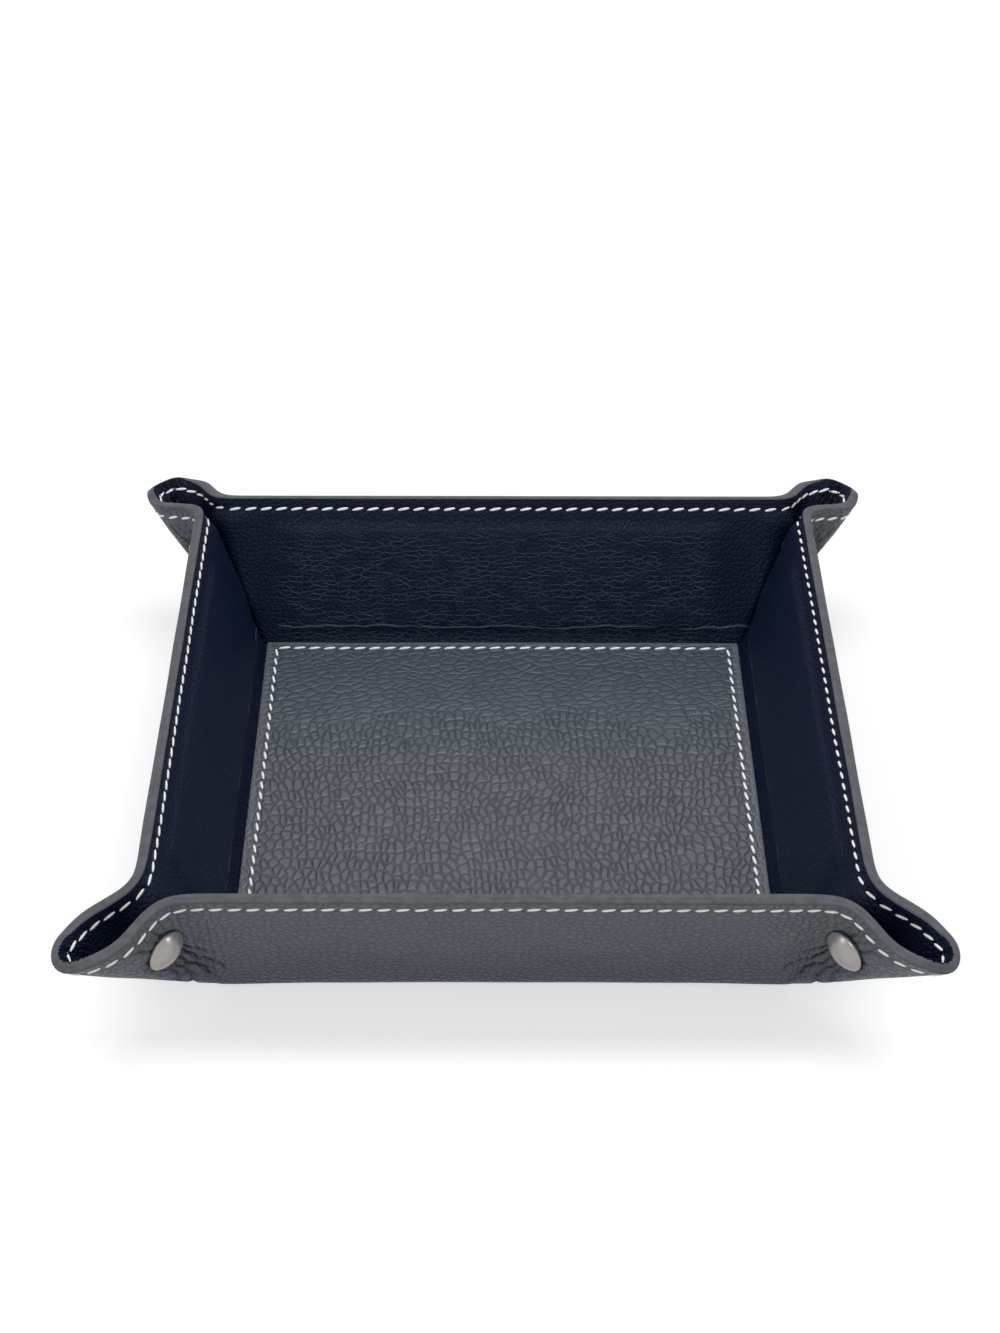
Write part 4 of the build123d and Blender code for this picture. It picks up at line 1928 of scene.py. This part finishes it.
    def wall_rows(self, wall: Wall) -> None:
        """Sew along the rim of one wall.

        Args:
            wall: Which wall.
        """
        bm = bmesh.new()
        turn = flat_turn(wall)
        for mirrored in (1.0, -1.0):
            self._sew(bm, turn @ np.diag([mirrored, 1.0]), "wall")
        made = self._thread(bm, f"{wall.label}_rim_thread")
        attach(made, wall.label)
        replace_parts(made, f"{wall.label}_rim_stitching")

    def ear_rows(self, corner: Corner, half: Half) -> None:
        """Sew along the rim of one half of an ear.

        Args:
            corner: The ear's corner.
            half: Which half of the ear.
        """
        for part in ("leaf", "tip"):
            bm = bmesh.new()
            self._sew(bm, flat_corner(corner, half), part)
            made = self._thread(bm, f"{corner.label}_{half.value}_{part}_thread")
            self.shell.blend_ear(made, corner, half, part)


@dataclass
class Snap:
    """One ear's snap: the domed cap on one half and the flat back on the other."""

    sheet: FoldedSheet
    palette: Palette
    corner: Corner
    cap_radius: float = 6.25 * MM
    cap_height: float = 3.0 * MM
    back_radius: float = 5.0 * MM
    back_thick: float = 1.0 * MM
    sunk: float = 0.6 * MM

    def _lathe(self, profile: list[tuple[float, float]], name: str) -> bpy.types.Object:
        """Turn a profile about the Z axis into a closed piece.

        Args:
            profile: Radius and height of each point, from the axis out and back to it.
            name: The piece's name.

        Returns:
            The turned piece, still at the origin.
        """
        bm = bmesh.new()
        points = [bm.verts.new((r, 0, z)) for r, z in profile]
        line = [bm.edges.new(pair) for pair in zip(points, points[1:])]
        bmesh.ops.spin(
            bm, geom=points + line, cent=(0, 0, 0), axis=(0, 0, 1), angle=2 * math.pi,
            steps=56, use_merge=True,
        )
        bmesh.ops.remove_doubles(bm, verts=bm.verts, dist=1e-7)
        return to_object(bm, name, [self.palette.cap], 55)

    def _seat(self, half: Half) -> Matrix:
        """Place on the leaf's outer face, with Z out of the leather.

        Args:
            half: Which half of the ear.

        Returns:
            The place as a matrix.
        """
        s = self.sheet
        ray = np.array([math.sin(s.snap_angle), math.cos(s.snap_angle)])
        spot = flat_corner(self.corner, half) @ (s.fold_half + ray * s.snap_distance)
        place, inward = s.frame_at(spot[0], spot[1], -s.ply)
        turn = Vector(-inward).to_track_quat("Z", "Y").to_matrix().to_4x4()
        return Matrix.Translation(Vector(place)) @ turn

    def build(self) -> None:
        """Build the cap on one half and the back on the other."""
        r, h = self.cap_radius, self.cap_height
        wall = h * 0.12
        bow = (r * r + (h - wall) ** 2) / (2 * (h - wall))
        lean = math.asin(r / bow)
        steps = [lean * (1 - i / 12) for i in range(13)]
        dome = [(bow * math.sin(a), h - bow + bow * math.cos(a)) for a in steps]
        dome[-1] = (0.0, h)
        lip = [(0.0, -self.sunk), (r * 0.93, -self.sunk), (r * 0.985, 0.0), (r, wall * 0.45)]
        b, t = self.back_radius, self.back_thick
        disc = [
            (0.0, -self.sunk), (b * 0.95, -self.sunk), (b, 0.0), (b, t * 0.5),
            (b * 0.97, t * 0.82), (b * 0.9, t), (b * 0.45, t), (b * 0.4, t * 0.8),
            (b * 0.2, t * 0.55), (0.0, t * 0.5),
        ]
        for profile, name, half, node in (
            (lip + dome, "snap_cap_dome", Half.CAP, "snap_cap"),
            (disc, "snap_back_disc", Half.STUD, "snap_post"),
        ):
            made = self._lathe(profile, f"{self.corner.label}_{name}")
            made.data.transform(self._seat(half))
            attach(made, half_bodies(self.corner, half)[0])
            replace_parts(made, f"{self.corner.label}_{node}")


def dress_kept_nodes(nodes: dict[str, bpy.types.Object], palette: Palette) -> None:
    """Give the CAD nodes that still show their materials.

    Args:
        nodes: The frame's nodes by name.
        palette: The tray's materials.
    """
    for name, node in nodes.items():
        material = palette.board if name.endswith("board") else palette.snap
        node.data.materials.clear()
        node.data.materials.append(material)


@dataclass
class Studio:
    """White sweep, soft lamps and the camera at the photograph's angle."""

    image_height: float = 1333.0
    focal_pixels: float = 2573.2
    sensor: float = 36.0
    eye: tuple[float, float, float] = (-5.3 * MM, -617.2 * MM, 510.3 * MM)
    yaw: float = math.radians(0.37)
    pitch: float = math.radians(36.503)
    roll: float = math.radians(0.318)
    room_light: float = 0.5
    floor_half: float = 6.0
    floor_paint: tuple[float, float, float, float] = (0.5, 0.5, 0.503, 1.0)
    glow_away: tuple[float, float, float, float] = (0.25, 0.7, 0.55, 1.0)
    glow_in_front: tuple[float, float, float, float] = (-0.102, -0.118, 0.55, 0.72)
    lamps: tuple[tuple[str, tuple[float, float, float], float, float], ...] = (
        ("lamp_above", (0.12, 0.32, 1.3), 0.75, 10.0),
        ("lamp_front", (-0.5, -1.1, 0.9), 0.5, 4.0),
        ("lamp_right", (1.0, -0.4, 0.3), 0.14, 1.0),
        ("lamp_left", (-1.0, -0.4, 0.3), 0.14, 1.0),
    )

    def camera(self) -> None:
        """Place the camera."""
        forward = Vector(
            (
                math.sin(self.yaw) * math.cos(self.pitch),
                math.cos(self.yaw) * math.cos(self.pitch),
                -math.sin(self.pitch),
            )
        )
        level = Vector((math.cos(self.yaw), -math.sin(self.yaw), 0))
        above = level.cross(forward)
        right = level * math.cos(self.roll) + above * math.sin(self.roll)
        upright = above * math.cos(self.roll) - level * math.sin(self.roll)
        data = bpy.data.cameras.new("camera")
        data.sensor_width = self.sensor
        data.lens = self.sensor * self.focal_pixels / self.image_height
        data.clip_start = 0.01
        camera = bpy.data.objects.new("camera", data)
        turn = Matrix((right, upright, -forward)).transposed().to_4x4()
        camera.matrix_world = Matrix.Translation(self.eye) @ turn
        bpy.context.scene.collection.objects.link(camera)
        bpy.context.scene.camera = camera

    def lamp(
        self, name: str, place: tuple[float, float, float], size: float, power: float
    ) -> None:
        """Hang a square soft lamp that faces the tray.

        Args:
            name: The lamp's name.
            place: Where it hangs.
            size: Its side.
            power: Its power in watts.
        """
        data = bpy.data.lights.new(name, "AREA")
        data.shape = "SQUARE"
        data.size = size
        data.energy = power
        lamp = bpy.data.objects.new(name, data)
        aim = Vector((0, 0, 0.02)) - Vector(place)
        lamp.rotation_euler = aim.to_track_quat("-Z", "Y").to_euler()
        lamp.location = place
        bpy.context.scene.collection.objects.link(lamp)

    @staticmethod
    def _seen(tree: NodeTree) -> Socket:
        """One for rays that come straight from the eye, from gloss or through glass.

        Args:
            tree: The node tree.

        Returns:
            The value.
        """
        path = tree.node("ShaderNodeLightPath").outputs
        total = path["Is Camera Ray"]
        for kind in ("Is Glossy Ray", "Is Transmission Ray"):
            total = tree.maths("MAXIMUM", total, path[kind])
        return total

    def world(self) -> None:
        """Light the room evenly, and show it white to the camera."""
        world = bpy.data.worlds.new("studio")
        bpy.context.scene.world = world
        world.use_nodes = True
        tree = NodeTree(world.node_tree)
        mixed = tree.node("ShaderNodeMixShader")
        tree.link(self._seen(tree), mixed.inputs["Fac"])
        lights = (((0.95, 0.97, 1.0, 1.0), self.room_light), ((1, 1, 1, 1), 1.0))
        for index, (colour, strength) in enumerate(lights, 1):
            light = tree.node("ShaderNodeBackground", {"Color": colour, "Strength": strength})
            tree.link(light.outputs["Background"], mixed.inputs[index])
        output = tree.node("ShaderNodeOutputWorld")
        tree.link(mixed.outputs["Shader"], output.inputs["Surface"])

    def floor(self) -> None:
        """Lay a white floor that keeps the tray's shadow and whitens away from it."""
        bm = bmesh.new()
        bmesh.ops.create_grid(bm, x_segments=8, y_segments=8, size=self.floor_half)
        material = bpy.data.materials.new("white_floor")
        material.use_nodes = True
        tree = NodeTree(material.node_tree)
        coords = tree.place()
        away = tree.node("ShaderNodeVectorMath", operation="LENGTH")
        tree.link(coords, away.inputs[0])
        glows = []
        for distance, limits in (
            (away.outputs["Value"], self.glow_away), (tree.parts(coords)["Y"], self.glow_in_front)
        ):
            names = ("From Min", "From Max", "To Min", "To Max")
            fade = tree.node("ShaderNodeMapRange", dict(zip(names, limits)))
            tree.link(distance, fade.inputs["Value"])
            glows.append(fade.outputs["Result"])
        glow = tree.node("ShaderNodeEmission", {"Color": (1, 1, 1, 1)})
        seen = tree.times(self._seen(tree), tree.maths("MAXIMUM", *glows))
        tree.link(seen, glow.inputs["Strength"])
        paint = tree.node("ShaderNodeBsdfDiffuse", {"Color": self.floor_paint})
        both = tree.node("ShaderNodeAddShader")
        tree.link(paint.outputs["BSDF"], both.inputs[0])
        tree.link(glow.outputs["Emission"], both.inputs[1])
        output = tree.node("ShaderNodeOutputMaterial")
        tree.link(both.outputs["Shader"], output.inputs["Surface"])
        to_object(bm, "floor", [material])

    def build(self) -> None:
        """Set up the whole studio."""
        self.camera()
        self.world()
        self.floor()
        for name, place, size, power in self.lamps:
            self.lamp(name, place, size, power)
        bpy.context.scene.view_settings.view_transform = "Standard"


def main() -> None:
    """Build the tray's pieces in order and report each."""
    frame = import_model()
    palette = Palette()
    dress_kept_nodes(frame["nodes"], palette)
    sheet = FoldedSheet()
    shell = LeatherShell(sheet, palette)
    shell.base()
    log.info("base: two layers of leather over the board")
    for wall in Wall:
        shell.wall(wall)
        log.info("%s: outer leather and lining, bent out of the base", wall.label)
    for corner in Corner:
        for half in Half:
            shell.ear(corner, half)
        log.info("%s: ear with two leaves and a rounded tip", corner.label)
    panel = BasePanel(sheet, palette)
    panel.build()
    log.info("base panel: pebbled leather, sewn down")
    stitching = Stitching(sheet, shell, panel, palette)
    stitching.panel_rows()
    for wall in Wall:
        stitching.wall_rows(wall)
    for corner in Corner:
        for half in Half:
            stitching.ear_rows(corner, half)
    log.info("stitching: panel, rims and ears")
    for corner in Corner:
        Snap(sheet, palette, corner).build()
    log.info("snaps: four domed caps with their backs")
    Studio().build()


if __name__ == "__main__":
    main()
